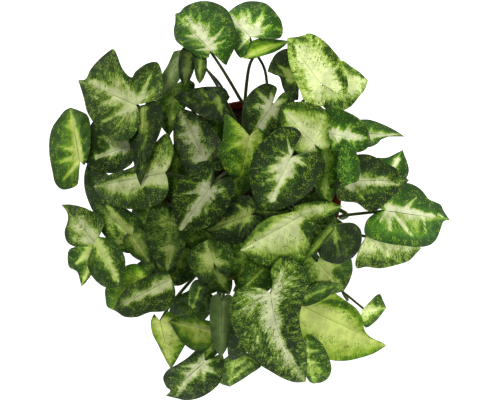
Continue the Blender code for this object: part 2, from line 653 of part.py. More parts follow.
def blade_mesh(lf, z, tilt):
    """The middle sheet of a blade. It is triangulated here, so that both faces are split alike."""
    edges = [edge_points(lf, side) for side in (0, 1)]
    slight = lf.low or max(edge[:, 1].max() for edge in edges) < SLIGHT
    longest = max(map(len, edges))
    rows, strips = (ROWS - 1, 1) if slight else (max(ROWS, round(0.75 * longest)), STRIPS)
    t, s = blade_grid(rows, strips)
    points = blade(lf, z, tilt, t, s) * MM
    verts, faces = grid_tree(points)
    mesh = bpy.data.meshes.new(lf.name)
    mesh.from_pydata(verts.tolist(), [], faces.tolist())
    bm = bmesh.new()
    bm.from_mesh(mesh)
    bmesh.ops.remove_doubles(bm, verts=bm.verts, dist=2e-5)
    bmesh.ops.dissolve_degenerate(bm, edges=bm.edges, dist=1e-6)
    bmesh.ops.recalc_face_normals(bm, faces=bm.faces)
    if sum(f.normal.z * f.calc_area() for f in bm.faces) < 0:
        bmesh.ops.reverse_faces(bm, faces=bm.faces)
    bm.to_mesh(mesh)
    bm.free()
    return mesh


def tube_mesh(name, path, radii, resolution):
    """A tube with closed ends along a path in mm."""
    curve = bpy.data.curves.new(name, "CURVE")
    curve.dimensions = "3D"
    curve.bevel_depth = MM
    curve.bevel_resolution = resolution
    curve.use_fill_caps = True
    spline = curve.splines.new("POLY")
    spline.points.add(len(path) - 1)
    for point, at, radius in zip(spline.points, path, radii):
        point.co = (*(np.asarray(at) * MM), 1)
        point.radius = radius
    obj = new_object(name, curve, bpy.context.scene.collection)
    mesh = evaluated(obj)
    bpy.data.objects.remove(obj)
    bm = bmesh.new()
    bm.from_mesh(mesh)
    bmesh.ops.remove_doubles(bm, verts=bm.verts, dist=1e-6)
    bmesh.ops.triangulate(bm, faces=bm.faces)
    bmesh.ops.recalc_face_normals(bm, faces=bm.faces)
    bm.to_mesh(mesh)
    bm.free()
    return mesh


def turned(name, profile, sides, collection):
    """A body of revolution from a closed profile that starts and ends on the axis, in mm."""
    mesh = bpy.data.meshes.new(name)
    points = [(r * MM, 0, z * MM) for r, z in profile]
    mesh.from_pydata(points, [(i, i + 1) for i in range(len(points) - 1)], [])
    obj = new_object(name, mesh, collection)
    screw = obj.modifiers.new("turn", "SCREW")
    screw.steps = sides
    screw.render_steps = sides
    screw.use_merge_vertices = True
    screw.merge_threshold = 1e-5
    screw.use_normal_calculate = True
    return obj


def fixed(obj):
    """The object with its modifiers applied."""
    mesh = evaluated(obj)
    obj.modifiers.clear()
    obj.data = mesh
    return obj


def drill(body, name, at, radius, depth, sides, cutters):
    """Cut a round upright hole into the body, centred on a place in mm."""
    mesh = bpy.data.meshes.new(name)
    bm = bmesh.new()
    bmesh.ops.create_cone(bm, cap_ends=True, segments=sides, radius1=radius * MM,
                          radius2=radius * MM, depth=depth * MM)
    bm.to_mesh(mesh)
    bm.free()
    cutter = new_object(name, mesh, cutters)
    cutter.location = [c * MM for c in at]
    cutter.hide_render = True
    cutter.display_type = "WIRE"
    cut = body.modifiers.new(name, "BOOLEAN")
    cut.operation = "DIFFERENCE"
    cut.object = cutter


def pot_radius(z):
    """The pot's outer radius below the band."""
    return BASE_RADIUS + (RIM_RADIUS - BAND_STEP - BASE_RADIUS) * z / (POT_HEIGHT - BAND_HEIGHT)


def make_pot(parts, cutters):
    """The pot, turned as one profile: floor and inner wall, then the rim, then the outside."""
    step = POT_HEIGHT - BAND_HEIGHT
    profile = [
        (0, FLOOR),
        (pot_radius(FLOOR) - WALL, FLOOR),
        (pot_radius(step) - WALL, step),
        (RIM_RADIUS - WALL, POT_HEIGHT - 1.0),
        (RIM_RADIUS - WALL + 0.3, POT_HEIGHT),
        (RIM_RADIUS - 0.4, POT_HEIGHT),
        (RIM_RADIUS, POT_HEIGHT - RIM_ROUND),
        (RIM_RADIUS - 0.5, step),
        (pot_radius(step), step),
        (pot_radius(1.5), 1.5),
        (BASE_RADIUS - 1.5, 0),
        (0, 0),
    ]
    pot = fixed(turned("pot", profile, POT_SIDES, parts))
    for k in range(DRAINS):
        angle = 2 * math.pi * (k + 0.5) / DRAINS
        at = (DRAIN_CIRCLE * math.cos(angle), DRAIN_CIRCLE * math.sin(angle), 0)
        drill(pot, f"drain_{k}", at, DRAIN_RADIUS, DRAIN_DEPTH, DRAIN_SIDES, cutters)
    pot.data.materials.append(principled("pot_plastic", (0.36, 0.055, 0.028), 0.42))
    return pot


def soil_radius(z):
    """The soil fills the pot but for a thin gap."""
    return pot_radius(z) - WALL - SOIL_GAP


def make_soil(parts, cutters):
    """The soil: a tapered body with a lumpy top and a hole for each cane."""
    bottom = FLOOR + SOIL_GAP
    outer = soil_radius(SOIL_TOP) - SOIL_GAP - 0.85
    profile = [(0, SOIL_TOP)]
    profile += [(outer * k / SOIL_RINGS, SOIL_TOP) for k in range(1, SOIL_RINGS + 1)]
    profile += [(soil_radius(z), z) for z in (SOIL_TOP - SOIL_BEVEL, bottom)]
    soil = fixed(turned("soil", profile + [(0, bottom)], SOIL_SIDES, parts))
    for vertex in soil.data.vertices:
        if vertex.co.z > (SOIL_TOP - 1) * MM:
            lump = noise.noise(Vector((vertex.co.x, vertex.co.y, 0)) * LUMP_SCALE)
            vertex.co.z += lump * SOIL_ROUGHNESS * MM
    for shoot, (x, y) in SHOOTS.items():
        at = (x, y, CANE_BOTTOM - SOIL_GAP + HOLE_DEPTH / 2)
        drill(soil, f"hole_{shoot:02d}", at, HOLE_RADIUS, HOLE_DEPTH, CANE_SIDES, cutters)
    soil.data.materials.append(principled("soil", (0.022, 0.014, 0.009), 0.95))
    return soil


def make_shoot(shoot, settled, routes, parts):
    """A cane with the stalks and blades that grow from it, joined into one body."""
    x, y = SHOOTS[shoot]
    cane = tube_mesh("cane", [(x, y, CANE_BOTTOM), (x, y, SOIL_TOP + 4), (x, y, CANE_TOP)],
                     [CANE_RADIUS, CANE_RADIUS, CANE_RADIUS * 0.55], 2)
    name = f"shoot_{shoot:02d}"
    obj = new_object(name, cane, parts)
    growth = bpy.data.collections.new(name + "_growth")
    bpy.context.scene.collection.children.link(growth)
    for lf in LEAVES:
        if lf.shoot != shoot:
            continue
        path, radius, _ = routes[lf.name]
        radii = np.linspace(radius * FOOT_SHARE, radius * HEAD_SHARE, len(path))
        new_object("stalk_" + lf.name, tube_mesh("stalk", path, radii, STALK_ROUNDNESS), growth)
        plate = new_object("blade_" + lf.name, blade_mesh(lf, *settled[lf.name]), growth)
        solid = plate.modifiers.new("thickness", "SOLIDIFY")
        solid.thickness = BLADE_THICKNESS * MM
        solid.offset = 0
        fixed(plate)
    union = obj.modifiers.new("join", "BOOLEAN")
    union.operation = "UNION"
    union.operand_type = "COLLECTION"
    union.collection = growth
    # Cane, stalks and blades are all closed meshes, which is what this solver needs
    union.solver = "MANIFOLD"
    fixed(obj)
    for item in list(growth.objects):
        bpy.data.objects.remove(item)
    bpy.data.collections.remove(growth)
    obj.data.materials.clear()
    obj.data.materials.append(principled(f"foliage_{shoot:02d}", (0.09, 0.19, 0.035), 0.45))
    return obj


def main():
    """Build the pot, the soil and the shoots in one collection, with the cutters in another."""
    for obj in list(bpy.data.objects):
        bpy.data.objects.remove(obj)
    parts = bpy.data.collections.new("arrowhead_plant")
    cutters = bpy.data.collections.new("cutters")
    bpy.context.scene.collection.children.link(parts)
    bpy.context.scene.collection.children.link(cutters)
    make_pot(parts, cutters)
    make_soil(parts, cutters)
    settled = settle()
    routes = route_stalks(settled)
    for shoot in SHOOTS:
        make_shoot(shoot, settled, routes, parts)


main()
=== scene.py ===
# %% [markdown]
# # An arrowhead plant in its nursery pot
#
# The plant is a cushion of some seventy arrow-shaped leaves over a small brick-red pot. Each leaf
# stands on its own stalk, and about five stalks rise together from one short cane in the soil.
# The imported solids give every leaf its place. This script remakes each leaf as a finer sheet on
# that place, and gives it veins, waves and its green and cream markings.

# %% Load the solids
import json
import math
import random
from collections import namedtuple

import bmesh
import bpy
import numpy as np
from mathutils import Matrix, Vector, noise
from mathutils.bvhtree import BVHTree

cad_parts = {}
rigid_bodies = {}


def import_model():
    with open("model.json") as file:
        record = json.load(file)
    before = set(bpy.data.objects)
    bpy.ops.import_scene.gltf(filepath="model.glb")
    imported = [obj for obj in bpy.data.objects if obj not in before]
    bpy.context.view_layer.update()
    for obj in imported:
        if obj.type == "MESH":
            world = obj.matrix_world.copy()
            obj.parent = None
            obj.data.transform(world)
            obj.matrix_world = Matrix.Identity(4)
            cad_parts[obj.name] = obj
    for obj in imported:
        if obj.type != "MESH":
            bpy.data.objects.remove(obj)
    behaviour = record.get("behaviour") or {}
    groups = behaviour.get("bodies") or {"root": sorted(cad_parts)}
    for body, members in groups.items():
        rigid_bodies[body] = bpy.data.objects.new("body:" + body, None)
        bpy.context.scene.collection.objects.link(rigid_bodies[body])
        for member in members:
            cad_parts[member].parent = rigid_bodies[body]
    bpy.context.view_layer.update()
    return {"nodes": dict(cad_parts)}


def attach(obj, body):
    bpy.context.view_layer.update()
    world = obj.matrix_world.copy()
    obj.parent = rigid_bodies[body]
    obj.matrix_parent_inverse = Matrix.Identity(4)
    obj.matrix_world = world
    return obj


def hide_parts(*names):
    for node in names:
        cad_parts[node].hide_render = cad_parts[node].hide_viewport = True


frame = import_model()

MM = 0.001

# %% [markdown]
# ## The floor
#
# The picture is taken from straight above, with no shadow round the plant. A plain white world
# would do that too, but it would light the plant from all sides. A white floor that glows a little
# keeps the ground clean and leaves the light on the plant to the lamps.

# %% Lay the floor
FLOOR_SIZE = 6
PAPER_WHITE = (0.86, 0.86, 0.86)
PAPER_GLOW = 0.85


def deselect():
    """Operators act on all that is selected, so nothing stays selected."""
    for item in bpy.context.view_layer.objects:
        item.select_set(False)


def shader(name, base, roughness):
    """A material and its Principled shader, with the values that are the same all over."""
    finish = bpy.data.materials.new(name)
    finish.use_nodes = True
    surface = finish.node_tree.nodes["Principled BSDF"]
    surface.inputs["Base Color"].default_value = (*base, 1)
    surface.inputs["Roughness"].default_value = roughness
    return finish, surface


deselect()
bpy.ops.mesh.primitive_plane_add(size=FLOOR_SIZE)
floor = bpy.context.object
floor.name = "floor"
white, glow = shader("white_paper", PAPER_WHITE, 0.9)
glow.inputs["Emission Color"].default_value = (1, 1, 1, 1)
glow.inputs["Emission Strength"].default_value = PAPER_GLOW
floor.data.materials.append(white)
print("floor:", FLOOR_SIZE, "m wide")

# %% [markdown]
# ## The light
#
# Soft studio light comes from above and leaves the gaps between the leaves dark. A sun would give
# hard shadows, and a bright world none at all. So one soft square lamp stands high beyond the upper
# left of the picture, a broader and weaker one at the lower right opens its shadows, and a faint
# bluish world stands for the walls of the room.

# %% Hang the lamps
WORLD_TINT = (0.9, 0.95, 1, 1)
WORLD_STRENGTH = 0.22
HEAD_CENTRE = (0, 0, 0.15)


def lamp(name, at, size, power):
    """A square soft lamp that points at the middle of the plant's head."""
    bpy.ops.object.light_add(type="AREA", location=at)
    light = bpy.context.object
    light.name = name
    light.data.shape = "SQUARE"
    light.data.size = size
    light.data.energy = power
    light.rotation_euler = (Vector(HEAD_CENTRE) - Vector(at)).to_track_quat("-Z", "Y").to_euler()


lamp("key_lamp", (-0.55, 0.75, 1.35), 0.5, 13)
lamp("fill_lamp", (0.75, -0.35, 1.3), 0.7, 8)

world = bpy.context.scene.world or bpy.data.worlds.new("soft_room")
bpy.context.scene.world = world
world.use_nodes = True
backdrop = world.node_tree.nodes["Background"]
backdrop.inputs["Color"].default_value = WORLD_TINT
backdrop.inputs["Strength"].default_value = WORLD_STRENGTH
bpy.context.scene.view_settings.view_transform = "Standard"

# %% [markdown]
# ## The camera
#
# A camera close above would make the outer leaves lean away and show their sides. One at 1.4 m with
# a long lens sees them as they lie. The lens follows from the width that the picture has at the
# pot's rim.

# %% Set up the camera
CAMERA_PLACE = (-0.0007, -0.0059, 1.405)
PICTURE_WIDTH = 0.330
RIM_LEVEL = 0.105
SENSOR = 36.0

bpy.ops.object.camera_add(location=CAMERA_PLACE, rotation=(0, 0, 0))
camera = bpy.context.object
camera.name = "camera"
camera.data.sensor_width = SENSOR
camera.data.lens = SENSOR * (CAMERA_PLACE[2] - RIM_LEVEL) / PICTURE_WIDTH
bpy.context.scene.camera = camera
print(f"camera: {camera.data.lens:.0f} mm lens, looking straight down")

# %% [markdown]
# ## Where the leaves are
#
# Leaves could be scattered by a rule, but then none would lie where it does on the real plant. So
# each has a row of its own, read from above: the shoot that bears it, where its stalk joins,
# where its tip is, and the places that its edge runs through. A leaf that is mostly hidden needs
# only its two half widths. The first rows are small dark leaves deep in the head, which show only
# in the gaps of the others.

# %% The table of shoots and leaves
SHOOTS = {
    1: (-6, 38),
    2: (12, 36),
    3: (-24, 26),
    4: (-38, 8),
    5: (-22, -4),
    6: (-36, -20),
    7: (-18, -34),
    8: (-2, -18),
    9: (14, -38),
    10: (24, -18),
    11: (38, -4),
    12: (10, 2),
    13: (34, 22),
    14: (-6, 14),
}
Leaf = namedtuple(
    "Leaf", "name shoot at tip left right lobes full pitch roll fold droop wave bow via low"
)


def leaf(name, shoot, at, tip, left, right, lobes=(8, 8), full=0.6, pitch=0, roll=0, fold=11,
         droop=0.16, wave=1.2, bow=0, via=(), low=0):
    """One row of the table: plan places, half widths and lobe lengths in mm, tilts in degrees.

    at is where the stalk joins, lobes how far the two lobes reach back from there. full is 0 for a
    slim blade, 1 for a broad one. fold raises the halves beside the midrib, droop bends the blade
    down along it, wave lifts and drops its edge, and bow bends the midrib aside. via names plan
    places that the stalk passes, from the leaf to the cane. low is how far the leaf hangs under
    the dome.
    """
    return Leaf(name, shoot, at, tip, left, right, lobes, full, pitch, roll, fold, droop, wave,
                bow, via, low)


# The leaves from the lowest layer to the highest. left and right, as seen from the stalk towards
# the tip, are a half width for a plain leaf, or the plan places that its edge runs through, lobe
# to tip
LEAVES = (
    leaf("A2", 3, (-50, 70), (-54, 36),
         ((-42, 74), (-37, 70), (-41, 60), (-47, 48)),
         ((-56, 73), (-62, 66), (-63, 55), (-60, 44)), low=20),
    leaf("E2", 6, (-58, -8), (-76, -24),
         ((-52, -12), (-52, -20), (-60, -25), (-69, -27)),
         ((-60, -2), (-68, -2), (-76, -8), (-79, -16)), low=20),
    leaf("G2", 7, (-42, -38), (-54, -62),
         ((-36, -39), (-34, -47), (-38, -56), (-46, -62)),
         ((-47, -34), (-54, -38), (-58, -47), (-58, -57)), low=22),
    leaf("K4", 7, (-30, -66), (-50, -92),
         ((-25, -69), (-26, -79), (-33, -87), (-42, -92)),
         ((-36, -62), (-42, -66), (-49, -70), (-54, -80)), low=24),
    leaf("N2", 6, (-56, -47), (-80, -54), 9, 7, (6, 6), low=18),
    leaf("Z2", 8, (8, -58), (-12, -66), 6, 7, (5, 5), low=14),
    leaf("E3", 5, (-48, 22), (-51, -10), 9, 9, low=28),
    leaf("N3", 3, (-21, 50), (-26, 30), 8, 8, (5, 5), low=34),
    leaf("M2", 14, (-4, 14), (-19, -6), 10, 10, (6, 6), low=34),
    leaf("R2", 11, (50, 29), (49, -14), 9, 9, (7, 7), low=30),
    leaf("W2", 11, (38, -12), (59, -13), 8, 8, (5, 5), low=24),
    leaf("R3", 12, (4, -13), (36, -15), 7, 7, (5, 5), low=26),
    leaf("J2", 5, (-27, -29), (-49, -33), 9, 8, (5, 5), low=24),
    leaf("B2", 8, (-4, -36), (-7, -68), 8, 8, (6, 6), low=24),
    leaf("C2", 10, (40, -20), (63, -24), 7, 6, (5, 5), low=22),
    leaf("A3", 10, (31, -39), (48, -53), 7, 7, (5, 5), low=18),
    leaf("L2", 8, (-20, -57), (-41, -68), 7, 7, (5, 5), low=14),
    leaf("S2", 7, (-24, -97), (-30, -112), 6, 7, (4, 4), low=6),
    leaf("J", 1, (-7, 87), (25, 99),
         ((-7, 92), (-1, 98), (7, 101), (17, 100)),
         ((-1, 87), (7, 89), (16, 92), (21, 95)), pitch=-4, fold=4),
    leaf("D", 4, (-96, -10), (-108, 18), 9, 12, (8, 8)),
    leaf("V", 13, (88, 10), (100, 27),
         ((80, 14), (76, 20), (83, 22), (89, 22), (94, 24)),
         ((94, 5), (101, 7), (104, 13), (103, 19), (101, 24)), roll=14),
    leaf("U", 13, (67, 39), (101, 36),
         ((69, 47), (78, 47), (87, 44), (95, 40)),
         ((72, 30), (78, 29), (83, 31), (86, 34), (92, 36)), roll=-20),
    leaf("Y", 10, (76, -30), (112, -38),
         ((77, -24), (88, -24), (100, -27), (108, -32)),
         ((72, -40), (69, -47), (70, -51), (76, -50), (85, -51), (95, -49), (104, -46),
          (109, -41))),
    leaf("YY", 10, (72, -79), (89, -77),
         ((76, -76), (84, -68), (87, -72)),
         ((73, -85), (76, -90), (83, -85)), via=((59, -66), (67, -75))),
    leaf("OO", 7, (-60, -86), (-53, -117),
         ((-55, -79), (-48, -84), (-44, -92), (-42, -98), (-46, -106), (-50, -113)),
         ((-64, -81), (-66, -86), (-65, -94), (-61, -102), (-57, -110)), pitch=8),
    leaf("RR", 8, (-9, -106), (-14, -129),
         ((-5, -106), (3, -110), (7, -115), (-1, -121), (-7, -125)),
         ((-14, -108), (-19, -112), (-24, -117), (-25, -123), (-20, -127))),
    leaf("NN", 6, (-70, -60), (-92, -78),
         ((-64, -62), (-62, -69), (-68, -76), (-78, -79), (-86, -80)),
         ((-68, -53), (-76, -48), (-84, -50), (-91, -56), (-96, -64), (-96, -71), (-95, -76))),
    leaf("EE", 6, (-79, -30), (-103, -8), 12, 12, (8, 8)),
    leaf("VV", 9, (32, -75), (89, -102),
         ((36, -69), (44, -65), (53, -66), (62, -72), (69, -77), (73, -83), (75, -92),
          (77, -102), (80, -105), (85, -104)),
         ((31, -80), (30, -88), (34, -97), (41, -105), (51, -111), (62, -112), (72, -110),
          (81, -107))),
    leaf("O2", 2, (48, 71), (77, 73),
         ((52, 83), (60, 86), (65, 83), (72, 78)),
         ((47, 66), (47, 57), (52, 53), (60, 53), (66, 56), (71, 62), (75, 67))),
    leaf("P", 2, (30, 73), (11, 79),
         ((31, 60), (25, 61), (21, 68), (19, 75), (16, 77)),
         ((32, 81), (30, 90), (24, 94), (17, 91), (13, 85))),
    leaf("C", 4, (-80, 30), (-108, 20),
         ((-76, 24), (-80, 17), (-90, 12), (-100, 13), (-106, 16)),
         ((-71, 38), (-78, 46), (-88, 48), (-98, 48), (-105, 45), (-107, 36), (-109, 27))),
    leaf("K1", 3, (-45, 93), (-58, 62),
         ((-40, 93), (-40, 86), (-45, 77), (-52, 67)),
         ((-51, 92), (-55, 83), (-59, 76), (-60, 68)), pitch=12, fold=-14),
    leaf("K2", 3, (-41, 90), (-44, 69), 5, 6, (5, 5), pitch=12, fold=-14,
         via=((-18, 66),)),
    leaf("K3", 1, (-33, 86), (-34, 71), 4, 4, (4, 4), pitch=12, fold=-14, via=((-20, 66),)),
    leaf("I", 1, (-1, 102), (-15, 118),
         ((-3, 90), (-7, 88), (-11, 93), (-14, 101), (-16, 110)),
         ((5, 102), (14, 101), (19, 101), (21, 105), (20, 112), (16, 118), (11, 123), (5, 125),
          (-3, 125), (-10, 122)), via=((4, 89), (12, 70))),
    leaf("S", 13, (48, 39), (79, 32),
         ((48, 54), (58, 54), (66, 51), (72, 47), (77, 40)),
         ((52, 28), (58, 25), (67, 25), (75, 27))),
    leaf("X", 11, (89, -13), (131, -19),
         ((80, -10), (83, -3), (90, 2), (98, 5), (105, 5), (112, 1), (117, -5), (121, -7),
          (125, -9), (127, -13)),
         ((81, -15), (76, -20), (75, -28), (81, -32), (92, -35), (101, -36), (109, -37),
          (117, -36), (122, -32), (125, -25), (127, -20)), via=((56, -17), (68, -17))),
    leaf("AA", 10, (44, -47), (61, -66),
         ((47, -40), (56, -39), (65, -43), (67, -51), (65, -59)),
         ((33, -48), (32, -57), (40, -64), (51, -68))),
    leaf("WW", 9, (36, -70), (58, -61), 6, 6, (5, 5)),
    leaf("XX", 9, (37, -95), (41, -127),
         ((40, -95), (47, -101), (51, -109), (53, -117), (51, -123), (47, -126)),
         ((34, -102), (34, -112), (35, -119), (38, -125))),
    leaf("FF", 6, (-77, -31), (-67, -47), 8, 8, (5, 5)),
    leaf("GG", 7, (-53, -19), (-55, -53), 11, 16, (13, 14)),
    leaf("ZZ", 8, (8, -51), (-11, -69), 13, 8, (5, 6)),
    leaf("KK", 8, (-24, -52), (-14, -68), 8, 8, (5, 5)),
    leaf("LL", 8, (-34, -64), (-39, -79), 6, 6, (5, 5)),
    leaf("MM", 6, (-53, -58), (-91, -78),
         ((-50, -66), (-51, -73), (-57, -79), (-67, -80), (-75, -83), (-83, -83), (-88, -80)),
         ((-55, -53), (-61, -54), (-68, -56), (-76, -60), (-83, -65), (-88, -72))),
    leaf("QQ", 7, (-31, -113), (-56, -135),
         ((-26, -110), (-19, -108), (-18, -116), (-20, -125), (-25, -131), (-33, -136),
          (-42, -138), (-48, -137)),
         ((-31, -106), (-36, -105), (-42, -110), (-48, -114), (-55, -118), (-58, -123),
          (-56, -129), (-52, -133))),
    leaf("PP", 7, (-26, -92), (-54, -86),
         ((-24, -99), (-30, -105), (-38, -105), (-45, -100), (-50, -93)),
         ((-26, -86), (-34, -84), (-43, -82), (-50, -83))),
    leaf("SS", 8, (-19, -73), (-20, -110), 8, 8, (5, 5), fold=-12),
    leaf("TT", 9, (-1, -90), (-14, -112), 8, 9, (5, 5)),
    leaf("L", 3, (-18, 57), (-51, 62),
         ((-14, 51), (-19, 46), (-28, 47), (-37, 52), (-45, 57)),
         ((-14, 62), (-18, 68), (-27, 69), (-36, 68), (-44, 66))),
    leaf("E", 4, (-57, 12), (-104, 3),
         ((-55, 6), (-55, -1), (-60, -8), (-68, -11), (-77, -12), (-86, -11), (-94, -8),
          (-100, -3)),
         ((-53, 18), (-51, 27), (-53, 35), (-56, 38), (-61, 34), (-68, 26), (-75, 18),
          (-83, 14), (-93, 11), (-100, 7))),
    leaf("G", 5, (-30, 19), (-47, 55), 15, 15, (9, 9)),
    leaf("F", 3, (-70, 57), (-73, 4),
         ((-67, 61), (-60, 57), (-58, 48), (-60, 39), (-65, 27), (-69, 14)),
         ((-76, 55), (-80, 44), (-80, 30), (-77, 17), (-75, 9)), pitch=8),
    leaf("B", 4, (-113, 20), (-119, 55),
         ((-115, 14), (-114, 7), (-116, 3), (-124, 1), (-129, 5), (-131, 13), (-133, 24),
          (-133, 34), (-131, 42), (-127, 48), (-123, 53)),
         ((-110, 17), (-107, 24), (-106, 31), (-106, 43), (-108, 50), (-113, 53))),
    leaf("A", 3, (-76, 57), (-114, 73),
         ((-73, 46), (-78, 36), (-88, 33), (-97, 38), (-103, 44), (-108, 52), (-110, 60),
          (-112, 67)),
         ((-71, 61), (-61, 61), (-58, 70), (-59, 79), (-62, 85), (-69, 84), (-76, 79),
          (-79, 75), (-85, 81), (-90, 93), (-94, 92), (-101, 86), (-106, 80), (-109, 74))),
    leaf("DD1", 6, (-103, -34), (-125, -9),
         ((-106, -36), (-114, -37), (-121, -34), (-123, -27), (-121, -20), (-121, -14)),
         ((-100, -27), (-97, -20), (-102, -15), (-110, -11), (-118, -9))),
    leaf("DD3", 6, (-104, -35), (-112, -63),
         ((-101, -39), (-101, -47), (-104, -53), (-108, -59)),
         ((-110, -36), (-119, -38), (-121, -43), (-120, -50), (-115, -53), (-113, -58))),
    leaf("DD2", 6, (-103, -34), (-87, -63),
         ((-100, -30), (-92, -32), (-86, -38), (-83, -46), (-84, -55)),
         ((-105, -39), (-108, -48), (-105, -56), (-99, -62), (-93, -64))),
    leaf("M", 12, (13, 55), (-1, 34),
         ((17, 65), (23, 65), (28, 58), (26, 47), (20, 40), (11, 36), (5, 34)),
         ((14, 61), (17, 68), (10, 71), (3, 68), (-2, 63), (-5, 56), (-5, 47), (-3, 39))),
    leaf("N", 12, (-1, 36), (-7, 9),
         ((5, 42), (9, 37), (10, 27), (7, 17), (1, 11)),
         ((-7, 42), (-14, 48), (-17, 51), (-18, 44), (-19, 34), (-21, 26), (-19, 17),
          (-14, 11))),
    leaf("H", 14, (-27, 93), (-50, 117),
         ((-28, 88), (-34, 88), (-40, 92), (-46, 96), (-50, 100), (-51, 106), (-50, 112)),
         ((-26, 84), (-19, 81), (-15, 86), (-11, 94), (-9, 101), (-11, 109), (-14, 117),
          (-19, 122), (-27, 125), (-35, 125), (-43, 122), (-47, 118)),
         via=((-19, 80), (-8, 62), (-4, 54))),
    leaf("JJ", 8, (-25, -46), (-29, -32), 16, 14, (13, 12), full=1),
    leaf("II", 5, (-1, -16), (-30, -26), 16, 14, (8, 8)),
    leaf("HH", 14, (-28, 1), (-47, -26), 17, 19, (15, 16)),
    leaf("O1", 2, (45, 72), (24, 101),
         ((48, 67), (49, 61), (47, 56), (41, 57), (35, 60), (32, 67), (28, 76), (25, 85),
          (24, 94)),
         ((52, 68), (57, 64), (62, 63), (64, 68), (63, 76), (60, 85), (54, 93), (47, 100),
          (39, 104), (32, 102))),
    leaf("Q", 13, (41, 32), (19, 55),
         ((44, 26), (39, 22), (30, 26), (24, 34), (20, 43)),
         ((47, 27), (52, 30), (51, 40), (50, 50), (47, 55), (39, 58), (31, 59), (24, 58))),
    leaf("W", 11, (63, 7), (104, 7),
         ((57, 15), (60, 22), (69, 24), (78, 24), (88, 19), (97, 14)),
         ((56, 1), (57, -5), (62, -7), (70, -8), (77, -13), (84, -12), (94, -3))),
    leaf("T", 11, (65, 5), (62, 34),
         ((61, 3), (57, 10), (57, 19), (59, 28)),
         ((71, 7), (72, 15), (70, 24), (66, 30))),
    leaf("CC", 12, (32, -16), (60, -10), 7, 6, (5, 5)),
    leaf("BB", 12, (32, -17), (-7, -39),
         ((39, -20), (46, -24), (47, -31), (44, -38), (38, -42), (30, -44), (26, -48),
          (18, -50), (7, -48), (-1, -44)),
         ((30, -13), (22, -15), (13, -17), (5, -22), (-1, -29), (-5, -34))),
    leaf("Z", 10, (53, -23), (67, -44),
         ((59, -22), (67, -21), (72, -25), (73, -32), (71, -39)),
         ((47, -27), (44, -35), (46, -44), (57, -48))),
    leaf("Z3", 10, (52, -25), (34, -47), 2.6, 2.6, (3, 3), fold=4, wave=0),
    leaf("R", 12, (26, 22), (9, -13),
         ((32, 22), (40, 26), (46, 24), (49, 17), (46, 9), (40, 1), (32, -6), (22, -11),
          (15, -13)),
         ((31, 26), (34, 32), (33, 38), (28, 42), (20, 42), (13, 38), (5, 30), (1, 22),
          (-1, 13), (0, 3), (2, -5), (5, -10))),
    leaf("UU", 9, (13, -68), (36, -126),
         ((15, -61), (13, -53), (17, -46), (24, -43), (32, -48), (36, -55), (37, -64),
          (34, -73), (32, -83), (33, -92), (36, -102), (37, -113)),
         ((7, -65), (-1, -63), (-9, -65), (-13, -72), (-14, -82), (-11, -92), (-7, -100),
          (-2, -107), (5, -114), (13, -119), (20, -123), (28, -126)), bow=-4.5),
)
print(len(LEAVES), "leaves on", len(SHOOTS), "canes")

# %% [markdown]
# ## The edge of a leaf
#
# A leaf of this plant is an arrowhead: two lobes behind the stalk and one long point ahead of it. A
# curve object could hold that outline, but the mesh needs to know where each place of the edge
# belongs on the midrib. So the edge is worked out in the leaf's own axes, along and across. A row
# of the table gives it place by place, or a common form is stretched to the leaf's width. From
# each place of the edge a side vein slants back to the midrib.

# %% The edge
# Places of the edge from the sinus to the tip: along, as a share of the length, and across, as a
# share of the half width, for a slim leaf and for a broad one
SLIM_EDGE = (
    (-0.28, 0.14),
    (-0.42, 0.42),
    (-0.32, 0.78),
    (-0.08, 0.98),
    (0.20, 1.00),
    (0.48, 0.80),
    (0.76, 0.38),
    (1.00, 0.00),
)
FULL_EDGE = (
    (-0.28, 0.14),
    (-0.42, 0.42),
    (-0.32, 0.76),
    (-0.04, 0.96),
    (0.28, 1.02),
    (0.60, 0.92),
    (0.86, 0.56),
    (1.00, 0.00),
)
LOBE_SHARE = 0.42
VEIN_SLANT = 0.70


def through(points, t):
    """Points at t in 0..1 of a smooth curve through the given ones."""
    pts = np.asarray(points, float)
    ext = np.vstack([2 * pts[0] - pts[1], pts, 2 * pts[-1] - pts[-2]])
    x = np.clip(np.asarray(t, float), 0, 1) * (len(pts) - 1)
    i = np.minimum(x.astype(int), len(pts) - 2)
    f = (x - i)[..., None]
    a, b, c, d = ext[i], ext[i + 1], ext[i + 2], ext[i + 3]
    return 0.5 * (2 * b + (c - a) * f + (2 * a - 5 * b + 4 * c - d) * f ** 2
                  + (3 * b - a - 3 * c + d) * f ** 3)


def edge_points(lf, side):
    """One side's edge in the leaf's own axes, along and across, from lobe to tip."""
    at, tip = np.array(lf.at, float), np.array(lf.tip, float)
    length = np.hypot(*(tip - at))
    ahead = (tip - at) / length
    across = np.array([-ahead[1], ahead[0]]) * (1 if side == 0 else -1)
    width = (lf.left, lf.right)[side]
    if isinstance(width, tuple):
        off = np.array(width, float) - at
        own = np.column_stack([off @ ahead, np.maximum(off @ across, 0.6)])
        return np.vstack([own, [length, 0]])
    form = np.array(SLIM_EDGE) * (1 - lf.full) + np.array(FULL_EDGE) * lf.full
    along = np.where(form[:, 0] < 0, form[:, 0] * lf.lobes[side] / LOBE_SHARE,
                     form[:, 0] * length)
    return np.column_stack([along, form[:, 1] * width])


def vein_roots(edges, length):
    """Where each row of the blade leaves the midrib: it only ever moves towards the tip."""
    t = np.linspace(0, 1, 81)
    roots = []
    for edge in edges:
        e = through(edge, t)
        roots.append(np.maximum(0, e[:, 0] - VEIN_SLANT * np.maximum(e[:, 1], 0)))
    mean = np.maximum.accumulate(sum(roots) / 2)
    return t, mean * length / max(mean[-1], 1e-6)


longest = max(LEAVES, key=lambda lf: math.dist(lf.at, lf.tip))
print("the longest leaf is", longest.name, "with", round(math.dist(longest.at, longest.tip)), "mm")
